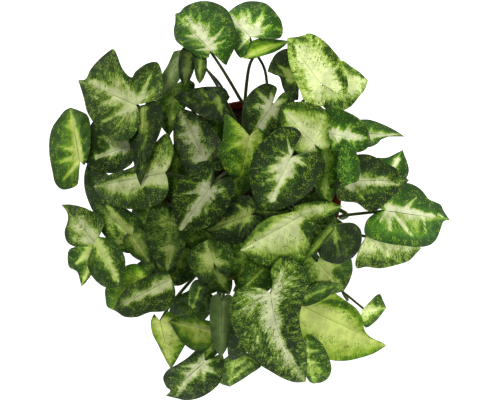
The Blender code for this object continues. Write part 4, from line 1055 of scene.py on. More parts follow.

# Palette, tone with painted light and shade, core, fingers and the number of side veins, then what
# isn't as usual. A stroke says where it starts and ends, how wide it is and how strong
# A tone well under 1, as on G and HH, is painted shade on a leaf inside the head; one well over 1,
# as on A3, B2 and R2, is painted light on a small low leaf in the shadow of others
MARKS = {
    "A": Marks("pale", 0.7, 0.06, 0.2, 6, rib=0.2, speck=0.5, strokes=(
        (136, 103, 91, 81, 6, 0.5), (136, 101, 123, 80, 4, 0.4), (123, 92, 108, 72, 7, 0.22),
        (140, 99, 151, 76, 4, 0.32), (142, 97, 160, 86, 3, 0.3), (135, 105, 102, 122, 4, 0.42),
        (125, 100, 103, 104, 5, 0.35), (131, 108, 116, 128, 3, 0.3), (134, 109, 130, 130, 3, 0.25),
        # The first two strokes on the next line are a darker patch and, in it, a small painted
        # highlight
        (90, 90, 92, 96, 4, -0.3), (97, 98, 92, 96, 1.5, 0.6), (88, 110, 95, 122, 6, -0.25))),
    "B": Marks("lime", 0.88, 0, 0.1, 6, rib=0.2, vein=0.1, speck=0.22, shift=0.06, right=0.3,
        strokes=((81, 160, 71, 112, 3.2, 0.55), (79, 150, 51, 147, 2.4, 0.4),
            (80, 157, 55, 163, 2.2, 0.42), (80, 161, 63, 180, 2.6, 0.45),
            (75, 130, 60, 124, 3, 0.15), (84, 125, 84, 150, 4, -0.3),
            (70, 154, 55, 155, 2.4, -0.2), (70, 140, 58, 138, 3, -0.15))),
    "C": Marks("star", 0.66, 0, 0.1, 5, speck=0.35, shift=-0.12, strokes=(
        (128, 147, 97, 157, 4.6, 0.6), (124, 142, 98, 136, 6, 0.42),
        (112, 156, 110, 160, 3, 0.2))),
    "D": Marks("deep", 1.3, 0, 0.1, 5, rib=0.3, vein=0.1, shift=-0.25),
    "E": Marks("pale", 0.63, 0.45, 0.15, 6, rib=0.1, speck=0.4, strokes=(
        (170, 176, 112, 188, 11, 0.3), (112, 172, 138, 170, 5, -0.7),
        (146, 142, 148, 158, 5, -0.5), (150, 195, 176, 200, 9, -0.85),
        (100, 182, 116, 176, 4, -0.2), (124, 204, 150, 204, 3, -0.15),
        (158, 140, 162, 160, 4, 0.1))),
    "F": Marks("deep", 0.72, 0, 0.1, 5, rib=0.1, speck=0.35, shift=-0.08, strokes=(
        (143, 110, 140, 132, 3.4, 0.5), (146, 128, 146, 140, 4, 0.2),
        (128, 158, 139, 184, 1.4, 0.3))),
    "G": Marks("star", 0.37, 0.1, 0.2, 5, rib=0.1, speck=0.5, shift=-0.12, strokes=(
        (200, 154, 180, 115, 10.5, 0.5), (196, 124, 205, 140, 5, 0.35),
        (176, 134, 188, 142, 4.5, 0.35), (170, 118, 174, 140, 3, -0.2),
        (182, 152, 190, 156, 3, -0.2))),
    "H": Marks("fresh", 0.85, 0.06, 0.12, 6, rib=0.2, vein=0.1, speck=0.36, strokes=(
        (210, 46, 188, 18, 4.2, 0.45), (210, 44, 226, 26, 1.6, 0.4), (209, 47, 225, 41, 1.8, 0.4),
        (205, 35, 217, 12, 1.7, 0.35), (200, 27, 199, 12, 3.4, 0.3), (209, 49, 196, 50, 1.5, 0.45),
        (203, 37, 186, 36, 1.8, 0.35), (198, 28, 188, 25, 1.8, 0.3), (193, 19, 190, 10, 2.5, 0.25),
        (212, 46, 219, 53, 1.2, 0.35))),
    "I": Marks("fresh", 1.08, 0.06, 0.15, 5, rib=0.2, strokes=(
        (249, 35, 232, 18, 6, 0.5), (252, 33, 264, 10, 4, 0.45), (254, 33, 273, 24, 3, 0.45),
        (250, 26, 249, 10, 3, 0.4), (248, 36, 238, 50, 3.2, 0.4), (243, 22, 241, 10, 3, 0.35),
        (258, 32, 262, 34, 3, 0.3), (258, 24, 266, 18, 3, 0.2))),
    "J": Marks("lime", 1.15, 0.5, 0, 4, rib=0, vein=0, speck=0.08, shift=-0.1),
    "K1": Marks("back", 0.6, 0.3, 0.05, 4, rib=0.1, shift=-0.02, strokes=(
        (176, 62, 164, 92, 3, 0.2),)),
    "K2": Marks("deep", 0.36, 0.2, 0.1, 4, rib=0.2, shift=0.05, strokes=(
        (186, 70, 186, 88, 4, 0.25),)),
    "K3": Marks("moss", 0.65, 0.2, 0.1, 4),
    "L": Marks("deep", 0.68, 0.05, 0.1, 5, rib=0.1, shift=-0.1, strokes=(
        (202, 90, 207, 96, 3.6, 0.5), (218, 98, 222, 116, 3.4, 0.42))),
    "M": Marks("star", 0.52, 0.05, 0.15, 5, rib=0.2, vein=0.1, speck=0.36, shift=-0.02, strokes=(
        (271, 106, 256, 91, 4.5, 0.45), (271, 104, 271, 93, 3, 0.35),
        (270, 107, 249, 108, 4, 0.45), (270, 108, 258, 134, 6, 0.5), (262, 126, 249, 142, 5, 0.35),
        (275, 106, 289, 96, 6, 0.35), (275, 112, 285, 122, 4, 0.25),
        (253, 118, 256, 124, 4, -0.2))),
    "N": Marks("lime", 0.76, 0.35, 0.15, 5, rib=0.2, shift=-0.04, strokes=(
        (250, 137, 252, 160, 2.5, 0.3), (249, 137, 226, 151, 3, 0.22),
        (249, 135, 227, 116, 4, 0.2), (255, 133, 262, 142, 7, 0.25),
        (235, 153, 246, 168, 6, -0.28), (222, 150, 236, 172, 3, 0))),
    "O1": Marks("pale", 1.12, 0.75, 0.1, 6, rib=0.1, speck=0.6, shift=0.18, strokes=(
        (317, 80, 292, 40, 4, 0.2), (293, 43, 295, 56, 4, -0.6), (328, 46, 344, 84, 6, -0.6),
        (346, 80, 344, 93, 4, -0.4), (301, 69, 307, 90, 4, -0.28), (300, 38, 307, 41, 4, -0.3),
        (322, 76, 339, 66, 2.5, 0.5), (327, 82, 341, 88, 4, 0.4), (314, 42, 318, 46, 4, -0.15))),
    "O2": Marks("pale", 1.42, 0.6, 0.2, 5, speck=0.6, shift=0.2, strokes=(
        (325, 105, 358, 104, 7, -0.5), (346, 65, 353, 75, 4, -0.4), (357, 72, 368, 82, 3, -0.3),
        (348, 82, 364, 80, 6, 0.3), (352, 90, 362, 88, 5, 0.15))),
    "P": Marks("deep", 0.76, 0, 0.1, 4, shift=-0.05, strokes=(
        (293, 77, 279, 66, 4, 0.5), (290, 82, 284, 90, 4, 0.3))),
    "Q": Marks("pale", 0.86, 0.8, 0.1, 6, rib=0.2, vein=0.1, shift=-0.02, strokes=(
        (312, 140, 287, 112, 3, 0.15), (282, 104, 296, 104, 5, -0.4),
        (281, 110, 284, 122, 4, -0.35), (312, 108, 325, 112, 4, -0.22),
        (322, 118, 316, 130, 3, 0.1), (292, 110, 306, 108, 3, -0.1))),
    "R": Marks("star", 0.76, 0, 0.15, 6, rib=0.2, vein=0.15, speck=0.42, shift=-0.06, strokes=(
        (292, 158, 272, 200, 7, 0.6), (292, 158, 287, 138, 2.2, 0.5),
        (291, 160, 270, 156, 3, 0.45), (288, 164, 256, 176, 5.5, 0.4),
        (284, 172, 262, 184, 5, 0.3), (295, 159, 307, 165, 2.6, 0.45),
        (290, 168, 302, 178, 2.4, 0.25), (280, 180, 290, 192, 3, 0.15))),
    "S": Marks("fresh", 0.94, 0, 0.15, 5, rib=0.2, shift=-0.05, strokes=(
        (331, 133, 366, 138, 5, 0.5), (346, 132, 350, 123, 3.5, 0.35),
        (338, 136, 332, 150, 5, 0.4), (352, 138, 356, 149, 4, 0.35), (334, 130, 330, 126, 3, 0.2),
        (358, 144, 366, 150, 4, -0.3))),
    "T": Marks("fresh", 1.24, 0, 0.1, 5, rib=0.05, vein=0.1, shift=-0.22),
    "U": Marks("fresh", 0.85, 0, 0.15, 5, rib=0.2, speck=0.2, shift=0.06, strokes=(
        (368, 137, 400, 134, 2.4, 0.4), (370, 138, 374, 145, 2.5, 0.25),
        (372, 124, 392, 128, 3, 0.08))),
    "V": Marks("fresh", 1.06, 0, 0.1, 4, rib=0.1, speck=0.18, shift=0.02, strokes=(
        (389, 175, 398, 160, 5, 0.65), (386, 172, 380, 166, 3, 0.1))),
    "W": Marks("star", 0.82, 0, 0.15, 6, rib=0.1, vein=0.1, speck=0.42, shift=-0.03, strokes=(
        (347, 181, 400, 185, 4, 0.42), (353, 178, 346, 165, 5, 0.45),
        (357, 178, 359, 168, 4, 0.35), (346, 184, 350, 190, 4, 0.5),
        (352, 186, 365, 201, 2.8, 0.35), (366, 176, 384, 180, 7, 0.16),
        (364, 190, 384, 192, 4, 0.12), (360, 166, 376, 168, 4, -0.25),
        (370, 200, 386, 202, 4, -0.2))),
    "X": Marks("fresh", 1.14, 0, 0.1, 5, rib=0.2, vein=0.1, speck=0.2, shift=0.02, strokes=(
        (388, 207, 434, 216, 3.4, 0.6), (405, 209, 416, 198, 1.8, 0.5),
        (393, 213, 412, 236, 2.4, 0.5), (390, 212, 390, 230, 2, 0.45),
        (385, 213, 380, 222, 1.8, 0.4), (422, 216, 426, 233, 1.8, 0.45),
        (415, 213, 418, 232, 3.5, 0.16), (438, 214, 443, 217, 1.5, 0.4),
        (372, 232, 432, 236, 13, 0.2), (408, 214, 404, 224, 3, 0.2))),
    "Y": Marks("pale", 1.12, 0.3, 0.2, 5, rib=0.1, speck=0.62, shift=0.1, strokes=(
        (360, 250, 374, 250, 6, 0.4), (375, 244, 402, 264, 2.6, 0.3),
        (388, 246, 412, 250, 3.5, 0.3), (360, 264, 396, 262, 5, -0.25),
        (378, 252, 384, 262, 2, -0.15))),
    "Z": Marks("deep", 1.08, 0, 0.1, 5, rib=0.1, vein=0.1, shift=-0.1, strokes=(
        (334, 230, 339, 256, 2.6, 0.3), (330, 232, 322, 250, 4, 0.25),
        (334, 240, 344, 236, 2, 0.12))),
    "AA": Marks("moss", 1.1, 0.4, 0.15, 5, speck=0.45, shift=0.02, strokes=(
        (327, 262, 320, 284, 9, 0.28), (328, 268, 334, 288, 2, 0.25),
        (336, 272, 344, 282, 5, -0.35), (306, 270, 308, 280, 4, -0.15))),
    "BB": Marks("pale", 0.8, 0.85, 0.06, 6, rib=0.1, vein=0.1, speck=0.26, shift=-0.03, strokes=(
        (298, 221, 242, 250, 3, 0.12), (308, 226, 318, 250, 9, -0.85),
        (298, 226, 297, 250, 1.6, 0.15), (262, 228, 284, 216, 4, -0.16),
        (312, 226, 320, 240, 3, 0.1), (252, 256, 272, 263, 3, -0.1))),
    "CC": Marks("pale", 1.2, 0.5, 0.15, 4, rib=0.1, speck=0.45, strokes=(
        (303, 214, 342, 199, 3, 0.2), (318, 196, 336, 197, 4, -0.35),
        (306, 208, 322, 206, 4, 0.2))),
    "DD1": Marks("pale", 0.76, 0.35, 0.1, 5, rib=0.1, speck=0.55, strokes=(
        (98, 240, 79, 216, 6, 0.35), (94, 243, 74, 238, 5, 0.35), (72, 224, 80, 232, 5, 0.2),
        (74, 212, 88, 208, 5, -0.5), (96, 226, 92, 216, 3, -0.2), (64, 232, 68, 242, 3, -0.3))),
    "DD2": Marks("moss", 1.12, 0.05, 0.1, 5, rib=0.3, speck=0.45, shift=-0.02, strokes=(
        (97, 240, 118, 280, 5, 0.6), (101, 236, 112, 262, 4, 0.2), (102, 276, 112, 286, 5, -0.3))),
    "DD3": Marks("moss", 1.45, 0.1, 0.1, 5, rib=0.2, vein=0.1, speck=0.35, strokes=(
        (95, 248, 77, 263, 5.5, 0.55), (95, 258, 81, 286, 3, 0.5), (70, 252, 76, 268, 4, -0.1))),
    "EE": Marks("moss", 0.84, 0.1, 0.2, 5, rib=0.2, speck=0.5, strokes=(
        (132, 235, 108, 206, 5, 0.45), (130, 238, 110, 246, 4.5, 0.4),
        (108, 224, 112, 238, 5, 0.15), (122, 210, 128, 218, 5, -0.3), (98, 206, 102, 222, 5, -0.1),
        (100, 222, 118, 240, 3, 0.15))),
    "FF": Marks("moss", 0.6, 0.35, 0.2, 4, shift=0.05),
    "GG": Marks("moss", 0.56, 0, 0.15, 5, rib=0.2, speck=0.5, shift=0.02, strokes=(
        (172, 250, 167, 268, 5, 0.3), (150, 226, 166, 217, 3, 0.2), (152, 238, 160, 250, 6, 0.1),
        (148, 226, 148, 246, 3, 0.1))),
    "HH": Marks("star", 0.47, 0, 0.15, 5, rib=0.2, vein=0.1, speck=0.42, shift=-0.05, strokes=(
        (208, 190, 181, 228, 7, 0.62), (206, 190, 174, 196, 3.6, 0.5),
        (206, 186, 178, 179, 3.4, 0.4), (211, 192, 226, 189, 4, 0.35),
        (210, 196, 206, 214, 5, 0.3), (208, 184, 213, 170, 3, 0.25),
        (186, 186, 196, 184, 3, -0.15), (178, 204, 186, 216, 5, -0.15))),
    "II": Marks("deep", 0.72, 0, 0.2, 5, rib=0.2, vein=0.1, speck=0.42, shift=-0.03, strokes=(
        (247, 215, 210, 230, 5.5, 0.55), (246, 217, 238, 236, 2, 0.42),
        (246, 214, 238, 206, 3, 0.3), (250, 212, 262, 214, 5, 0.3), (222, 201, 244, 206, 2, 0.2),
        (228, 238, 250, 232, 5, -0.15))),
    "JJ": Marks("moss", 0.68, 0.15, 0.15, 5, rib=0.2, vein=0.1, speck=0.42, strokes=(
        (212, 260, 205, 241, 3.6, 0.45), (210, 261, 193, 249, 3.6, 0.35),
        (208, 266, 190, 274, 8, 0.3), (215, 261, 233, 264, 4, 0.35), (216, 258, 222, 250, 3, 0.25),
        (200, 247, 198, 254, 2, -0.2), (222, 276, 230, 290, 6, -0.1))),
    "KK": Marks("moss", 0.75, 0.3, 0.2, 4, speck=0.5, shift=-0.02),
    "LL": Marks("deep", 1.45, 0, 0.1, 4, shift=-0.05, strokes=(
        (190, 286, 189, 304, 3, 0.5), (190, 305, 205, 310, 2.4, 0.45))),
    "MM": Marks("pale", 0.68, 0.1, 0.1, 5, rib=0.1, vein=0.1, speck=0.4, shift=-0.04, strokes=(
        (166, 284, 127, 302, 6, 0.5), (156, 290, 146, 308, 4, 0.4), (164, 284, 173, 279, 4, 0.3),
        (128, 282, 112, 306, 8, 0.2), (154, 278, 168, 276, 3, 0.15), (150, 302, 170, 296, 8, -0.5),
        (118, 311, 136, 312, 4, -0.35), (138, 284, 132, 296, 3, 0.1))),
    "NN": Marks("lime", 1.34, 0.35, 0.1, 5, shift=-0.04),
    "OO": Marks("lime", 1.02, 0.8, 0.1, 5, rib=0.1, speck=0.45, shift=-0.03, strokes=(
        (158, 324, 182, 339, 4, 0.2), (154, 313, 170, 316, 5, -0.3),
        (166, 352, 172, 364, 4, 0.1))),
    "PP": Marks("lime", 0.52, 0.5, 0.1, 4, speck=0.2, shift=-0.08, strokes=(
        (180, 336, 204, 340, 4, 0.12), (190, 348, 208, 346, 3, 0.15))),
    "QQ": Marks("star", 0.96, 0, 0.15, 5, rib=0.2, vein=0.1, speck=0.45, strokes=(
        (207, 354, 176, 396, 5, 0.5), (200, 366, 182, 366, 2.2, 0.42),
        (203, 371, 205, 388, 2.2, 0.45), (206, 367, 216, 373, 3, 0.4),
        (184, 372, 194, 374, 4, 0.15), (192, 384, 212, 384, 5, -0.2),
        (208, 356, 204, 364, 5, 0.2))),
    "RR": Marks("moss", 1.62, 0.1, 0.15, 5, rib=0.2, speck=0.5, strokes=(
        (250, 364, 228, 382, 2.6, 0.42), (244, 360, 231, 370, 2, 0.35),
        (236, 368, 241, 366, 2.5, -0.2))),
    "SS": Marks("back", 0.72, 0.05, 0, 5, rib=0.1, vein=0.1, speck=0.1, shift=-0.02),
    "TT": Marks("deep", 1.5, 0, 0.1, 4, shift=-0.15),
    "UU": Marks("star", 0.9, 0, 0.25, 7, rib=0.3, vein=0.25, speck=0.7, shift=0.24, strokes=(
        (270, 296, 272, 320, 3.6, 0.5), (272, 316, 280, 344, 3.4, 0.5),
        (279, 340, 296, 364, 2.8, 0.42), (268, 296, 236, 313, 2.4, 0.4),
        (264, 299, 237, 291, 3, 0.35), (271, 318, 250, 352, 2.4, 0.42),
        (273, 314, 292, 334, 2.2, 0.4), (274, 294, 282, 268, 3.6, 0.25),
        (274, 297, 294, 302, 2.2, 0.35), (286, 303, 291, 348, 6, -0.6),
        (285, 328, 298, 364, 6, -0.55), (258, 303, 256, 326, 4, -0.3),
        (262, 334, 268, 354, 5, -0.4), (236, 332, 246, 348, 4, -0.25),
        (262, 366, 290, 376, 4, -0.4), (276, 254, 290, 258, 5, -0.4),
        (246, 322, 252, 334, 4, -0.25), (276, 282, 268, 288, 2, -0.3))),
    "VV": Marks("lime", 1.13, 1, 0.05, 6, rib=0.1, vein=0.1, shift=-0.04, strokes=(
        (300, 298, 346, 306, 7, -0.42), (346, 306, 362, 322, 4, -0.25),
        (300, 320, 350, 313, 2.5, 0.14), (318, 326, 366, 346, 2.5, 0.12),
        (330, 300, 344, 303, 3, -0.15), (326, 356, 366, 352, 2.5, 0.12))),
    "WW": Marks("moss", 1.5, 0.1, 0.1, 4, shift=-0.1),
    "XX": Marks("moss", 1.85, 0, 0.1, 5, rib=0.2, vein=0.1, speck=0.5, shift=-0.03, strokes=(
        (304, 351, 320, 350, 2, 0.45), (305, 361, 322, 363, 2, 0.45),
        (310, 345, 324, 346, 3, -0.25), (312, 356, 326, 357, 2.5, -0.3),
        (310, 368, 326, 374, 6, 0.25), (306, 372, 316, 380, 4, 0.15))),
    "YY": Marks("pale", 1.55, 0.4, 0.2, 4, shift=-0.02, strokes=(
        (376, 301, 377, 306, 4, -0.35), (364, 318, 380, 306, 3, 0.2))),
    "ZZ": Marks("moss", 1.3, 0.15, 0.1, 4, shift=-0.12),
    "Z3": Marks("lime", 0.62, 0.6, 0, 4, rib=0, vein=0, speck=0.15, shift=-0.08),
    "R2": Marks("moss", 1.7, 0.2, 0.2, 5, speck=0.4),
    "B2": Marks("moss", 2, 0.2, 0.2, 5, speck=0.4),
    "A3": Marks("moss", 2.27, 0.3, 0.2, 5, speck=0.4),
    "R3": Marks("deep", 0.5, 0.1, 0.2, 5, speck=0.4, shift=-0.1),
    "S2": Marks("moss", 1.3, 0.3, 0.2, 5, speck=0.4),
    "Z2": Marks("moss", 1.3, 0.2, 0.2, 5, speck=0.4),
    "M2": Marks("moss", 1.4, 0.1, 0.2, 5, speck=0.4),
    "E2": Marks("moss", 1.25, 0.1, 0.2, 5, speck=0.4),
    "A2": Marks("moss", 1.15, 0.1, 0.2, 5, speck=0.4),
}
PLAIN = Marks("moss", 0.95, 0.05, 0.25, 5, rib=0.2, vein=0.1, speck=0.4, shift=-0.04)
print(len(MARKS), "leaves have marks of their own, with",
      sum(len(m.strokes) for m in MARKS.values()), "strokes")

# %% [markdown]
# ## Laying the markings on a blade
#
# The value "pale" is worked out for every point of the mesh: the band beside the midrib first, then
# its fingers along the side veins, then the strokes, and last the veins. A bare rule gives edges
# that look ruled, so the reach of each band and the width of each stroke is ragged by noise and by
# the teeth of the side veins.

# %% The value over a leaf
BORDER = 0.5        # the value where green turns into cream
STEP = 0.66         # mm that one step of the picture spans at the rim
PICTURE_MIDDLE = (250, 200)   # where the eye's own place is seen
RAGGED = ((0.16, 0.30, 0), (0.42, 0.22, 7))   # scale, strength and seed of coarse and fine noise
STROKE_FADE = 2.5   # the higher, the firmer the sides of a stroke


def side_vein(t, q, count):
    """1 on a side vein and 0 midway between two, with the veins bent a little towards the tip."""
    return 0.5 + 0.5 * np.cos(2 * math.pi * (t * count + 0.18 * q))


def smooth_noise(points, scale, seed):
    return np.array([noise.noise(Vector((p[0] * scale + seed, p[1] * scale, p[2] * scale)))
                     for p in points])


def seen_at(points):
    """Where the picture shows the points: its own steps, right and down from its corner."""
    nearer = (EYE[2] - POT_HEIGHT) / (EYE[2] - points[:, 2]) / STEP
    return np.stack([PICTURE_MIDDLE[0] + (points[:, 0] - EYE[0]) * nearer,
                     PICTURE_MIDDLE[1] - (points[:, 1] - EYE[1]) * nearer], axis=1)


def stroke(places, start, end, wide, teeth):
    """1 along a brush stroke that thins out towards its end, falling to 0 beside it."""
    start, end = np.array(start, float), np.array(end, float)
    line = end - start
    along = np.clip((places - start) @ line / (line @ line), 0, 1)
    away = np.linalg.norm(places - start - along[:, None] * line, axis=1)
    return np.exp(-(away / (1.05 * wide * (1 - 0.6 * along) * teeth)) ** STROKE_FADE)


def paleness(lf, m, t, s, points, half):
    """The value "pale" at the points of a leaf."""
    q = np.abs(s)
    side = np.where(s >= 0, 1, m.right)
    vein = side_vein(t, q, m.veins)
    seed = sum(ord(c) * k for k, c in enumerate(lf.name, 3))
    ragged = sum(smooth_noise(points, scale, seed + more) * strength
                 for scale, strength, more in RAGGED)
    reach = m.core * (1 - 0.55 * t ** 2) + m.fingers * (vein ** 1.5) * (0.55 + 0.9 * ragged)
    reach = reach * side
    value = BORDER + (reach - q) * np.where(reach > q, 0.8, 0.62) + m.shift
    value += 0.35 * ragged * np.clip(1.2 - 2 * np.abs(reach - q), 0, 1)
    teeth = 0.72 + 0.34 * vein ** 1.5 + 0.26 * side_vein(t, q, 3 * m.veins) + 1.1 * ragged
    teeth = np.maximum(teeth, 0.3)
    places = seen_at(points)
    for x0, y0, x1, y1, wide, strength in m.strokes:
        value += strength * stroke(places, (x0, y0), (x1, y1), wide, teeth)
    value += 0.7 * m.rib * np.exp(-(q * half / 0.8) ** 2) * (1 - 0.4 * t)
    value += 0.6 * m.vein * (vein ** 14) * np.exp(-(q / 0.62) ** 4) * side
    return np.clip(value, 0, 1)


print("the picture spans", round(2 * PICTURE_MIDDLE[0] * STEP), "mm at the pot's rim")

# %% [markdown]
# ## A leaf
#
# A leaf could be cut from a plane along its outline, but then its faces would run across the veins
# and the midrib would crease badly. So each starts as a flat grid, whose rows become the lines of
# its side veins and whose middle column becomes the midrib. Moving the grid onto the settled blade
# makes the arrow shape with even faces. The flesh between the veins is then raised a little, the
# midrib is sunk, doubled points at the tip and the stalk are merged, and Solidify gives the sheet
# its thickness and a paler underside.

# %% Make the leaves
BLADE_COLUMNS = 24
FEWEST_ROWS, MOST_ROWS = 22, 64
ROW_STEP = 1.15     # mm between rows, measured along the edge
EDGE_LONGER = 1.9   # how much longer the edge is than the midrib
SHEET = 0.42        # the blade's thickness
QUILT = 0.75        # how far the flesh stands up between the side veins
RIB_GROOVE = 0.40   # how deep the midrib is sunk
UNEVEN = 0.35       # how uneven the blade is towards its edge


def leaf_points(lf, m, t, s):
    """The points of the settled blade, raised between the veins, and the half width at each."""
    points = blade(lf, *settled[lf.name], t, s)
    half = np.where(s >= 0, edge_points(lf, 0)[:, 1].max(), edge_points(lf, 1)[:, 1].max())
    q = np.abs(s)
    vein = side_vein(t, q, m.veins)
    rise = QUILT * (1 - vein) ** 0.6 * np.sin(math.pi * np.clip(q, 0, 1)) ** 0.7
    rise -= RIB_GROOVE * np.exp(-(q * half / 0.9) ** 2)
    rise += UNEVEN * smooth_noise(points, 0.09, 31) * q
    points[:, 2] += rise
    return points, half


def make_sheet(piece):
    """Merge the doubled points and give the blade its thickness, with the underside's material."""
    bpy.ops.object.mode_set(mode="EDIT")
    bpy.ops.mesh.select_all(action="SELECT")
    bpy.ops.mesh.remove_doubles(threshold=2e-5)
    bpy.ops.mesh.dissolve_degenerate(threshold=1e-5)
    bpy.ops.object.mode_set(mode="OBJECT")
    sheet = piece.modifiers.new("sheet", "SOLIDIFY")
    sheet.thickness = SHEET * MM
    sheet.offset = 0
    sheet.material_offset = 1
    sheet.material_offset_rim = 0
    bpy.ops.object.modifier_apply(modifier="sheet")
    bpy.ops.object.shade_smooth_by_angle(angle=math.radians(65))


def make_leaf(lf):
    """One leaf as a finished piece, on the place that its solid has."""
    m = MARKS.get(lf.name, PLAIN)
    rows = int(EDGE_LONGER * math.dist(lf.at, lf.tip) / ROW_STEP)
    rows = min(MOST_ROWS, max(FEWEST_ROWS, rows))
    deselect()
    bpy.ops.mesh.primitive_grid_add(x_subdivisions=BLADE_COLUMNS, y_subdivisions=rows, size=1)
    piece = bpy.context.object
    piece.name = f"shoot_{lf.shoot:02d}_leaf_{lf.name}"
    mesh = piece.data
    flat = np.zeros(len(mesh.vertices) * 3)
    mesh.vertices.foreach_get("co", flat)
    flat = flat.reshape(-1, 3)
    t, s = np.clip(flat[:, 1] + 0.5, 0, 1), np.clip(-2 * flat[:, 0], -1, 1)
    s = np.sign(s) * np.abs(s) ** WARP
    points, half = leaf_points(lf, m, t, s)
    mesh.vertices.foreach_set("co", (points * MM).ravel())
    pale = mesh.attributes.new("pale", "FLOAT", "POINT")
    pale.data.foreach_set("value", paleness(lf, m, t, s, points, half))
    mesh.update()
    mesh.materials.append(leaf_finish("leaf_" + lf.name, m, half.mean()))
    mesh.materials.append(leaf_finish("underside_" + lf.name, m, half.mean(), under=True))
    make_sheet(piece)
    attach(piece, "root")
    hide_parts(f"shoot_{lf.shoot:02d}")
    return piece


leaf_pieces = [make_leaf(lf) for lf in LEAVES]
print("leaves made:", len(leaf_pieces), "with",
      sum(len(p.data.polygons) for p in leaf_pieces), "faces")

# %% [markdown]
# ## The colour of the stalks
#
# A stalk is green at the leaf and paler and browner towards the soil, with long fine streaks. A
# ramp over the height gives the change, and noise added to the height breaks it up.

# %% The stalk material
BROWN_LEVEL, GREEN_LEVEL = 0.088, 0.165


def stalk_finish():
    """Green stalks, browner towards the soil, with fine streaks."""
    finish, surface = shader("stalk_green", (0.1, 0.14, 0.04), 0.62)
    sheen(surface, 0.15, (0.8, 0.9, 0.6))
    tree = finish.node_tree
    place = object_place(tree)
    split = add_node(tree, "SeparateXYZ", {}, {0: place})
    level = add_node(tree, "MapRange", {"From Min": BROWN_LEVEL, "From Max": GREEN_LEVEL},
                     {"Value": split.outputs["Z"]})
    both = add_node(tree, "Math", {1: 0.5}, {0: clouds(tree, place, 220, 3), 2: level.outputs[0]})
    both.operation = "MULTIPLY_ADD"
    colour = ramp(tree, both.outputs[0], (0.2, linear("7a6a45")), (0.5, linear("5f7335")),
                  (1.0, linear("3c4a22")))
    tree.links.new(colour, surface.inputs["Base Color"])
    return finish


green_stalk = stalk_finish()
print("stalks turn from brown to green between", BROWN_LEVEL / MM, "and", GREEN_LEVEL / MM, "mm")

# %% [markdown]
# ## Canes and stalks
#
# A stalk is a round tube that runs on under the leaf as the midrib and thins out towards the tip.
# Cylinders would need a joint at every bend. A curve with a bevel follows any path and takes a
# radius at each point, so it gives that taper in one go. The curve is turned into a mesh, and the
# stalks of one cane are joined into one piece.

# %% Make the canes and stalks
FOOT_SHARE = 1.35   # a stalk's radius at its cane, as a share of the leaf's own stalk radius
HEAD_SHARE = 0.9    # and under its leaf
CANE_LEVELS = (CANE_BOTTOM, SOIL_TOP, SOIL_TOP + 8, CANE_TOP, CANE_TOP + 3)
CANE_RADII = (3.4, 3.5, 3.1, 2.3, 1.0)
RIB_POINTS = 12
RIB_END = 0.22      # the midrib's radius near the tip
BEND_IN = 4         # points of the path over which a stalk sinks to lie under the leaf


def tube(name, path, radii, roundness):
    """A closed tube through the given points, as a mesh object."""
    deselect()
    bpy.ops.curve.primitive_nurbs_path_add()
    line = bpy.context.object
    line.name = name
    line.data.splines.clear()
    spline = line.data.splines.new("POLY")
    spline.points.add(len(path) - 1)
    for point, at, radius in zip(spline.points, path, radii):
        point.co = (*(np.asarray(at) * MM), 1)
        point.radius = radius
    line.data.dimensions = "3D"
    line.data.bevel_depth = MM
    line.data.bevel_resolution = roundness
    line.data.use_fill_caps = True
    bpy.ops.object.convert(target="MESH")
    bpy.ops.object.mode_set(mode="EDIT")
    bpy.ops.mesh.select_all(action="SELECT")
    bpy.ops.mesh.remove_doubles(threshold=1e-6)
    bpy.ops.mesh.normals_make_consistent(inside=False)
    bpy.ops.object.mode_set(mode="OBJECT")
    return bpy.context.object


def make_stalk(lf):
    """One stalk from its cane to the leaf, and on under the blade as the midrib."""
    path, radius, _ = routes[lf.name]
    path = through(path, np.linspace(0, 1, 4 * STALK_SEGMENTS + 1))
    radii = np.linspace(radius * FOOT_SHARE, radius * HEAD_SHARE, len(path))
    sink = np.clip(np.arange(len(path)) - len(path) + BEND_IN + 1, 0, BEND_IN + 1) / BEND_IN
    path[:, 2] -= sink * (radius + 0.3)
    rib = blade(lf, *settled[lf.name], np.linspace(0.4, 0.97, RIB_POINTS), np.zeros(RIB_POINTS))
    thin = np.linspace(radius * 0.8, RIB_END, RIB_POINTS)
    rib[:, 2] -= thin + RIB_GROOVE - SHEET / 2
    keep = np.linalg.norm(rib - path[-1], axis=1) > 1.5
    return tube("stalk", np.vstack([path, rib[keep]]), [*radii, *thin[keep]], 2)


def make_stalks(shoot):
    """The cane of one shoot with the stalks of its leaves, down to the soil."""
    parts = [tube("cane", [(*SHOOTS[shoot], z) for z in CANE_LEVELS], CANE_RADII, 4)]
    parts += [make_stalk(lf) for lf in LEAVES if lf.shoot == shoot]
    deselect()
    for part in parts:
        part.select_set(True)
    bpy.context.view_layer.objects.active = parts[0]
    bpy.ops.object.join()
    piece = bpy.context.object
    piece.name = f"shoot_{shoot:02d}_stalks"
    piece.data.materials.clear()
    piece.data.materials.append(green_stalk)
    bpy.ops.object.shade_smooth_by_angle(angle=math.radians(60))
    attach(piece, "root")
    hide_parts(f"shoot_{shoot:02d}")
    return piece


stalk_pieces = [make_stalks(shoot) for shoot in SHOOTS]
print("stalk pieces made:", len(stalk_pieces))

# %% [markdown]
# ## The pot
#
# The pot is thin moulded plastic, a plain tapered tub with a deeper band at the rim. A scaled
# cylinder with its inside cut out would do, but every small round at the rim would need a bevel of
# its own. Turned as one profile, wall and rim keep one thickness and all the rounds come with it.

# %% Turn the pot
POT_FACES = 96
BASE_RADIUS = 42.0
WALL = 1.6
FLOOR = 2.4
BAND_HEIGHT = 9.0
BAND_STEP = 2.0


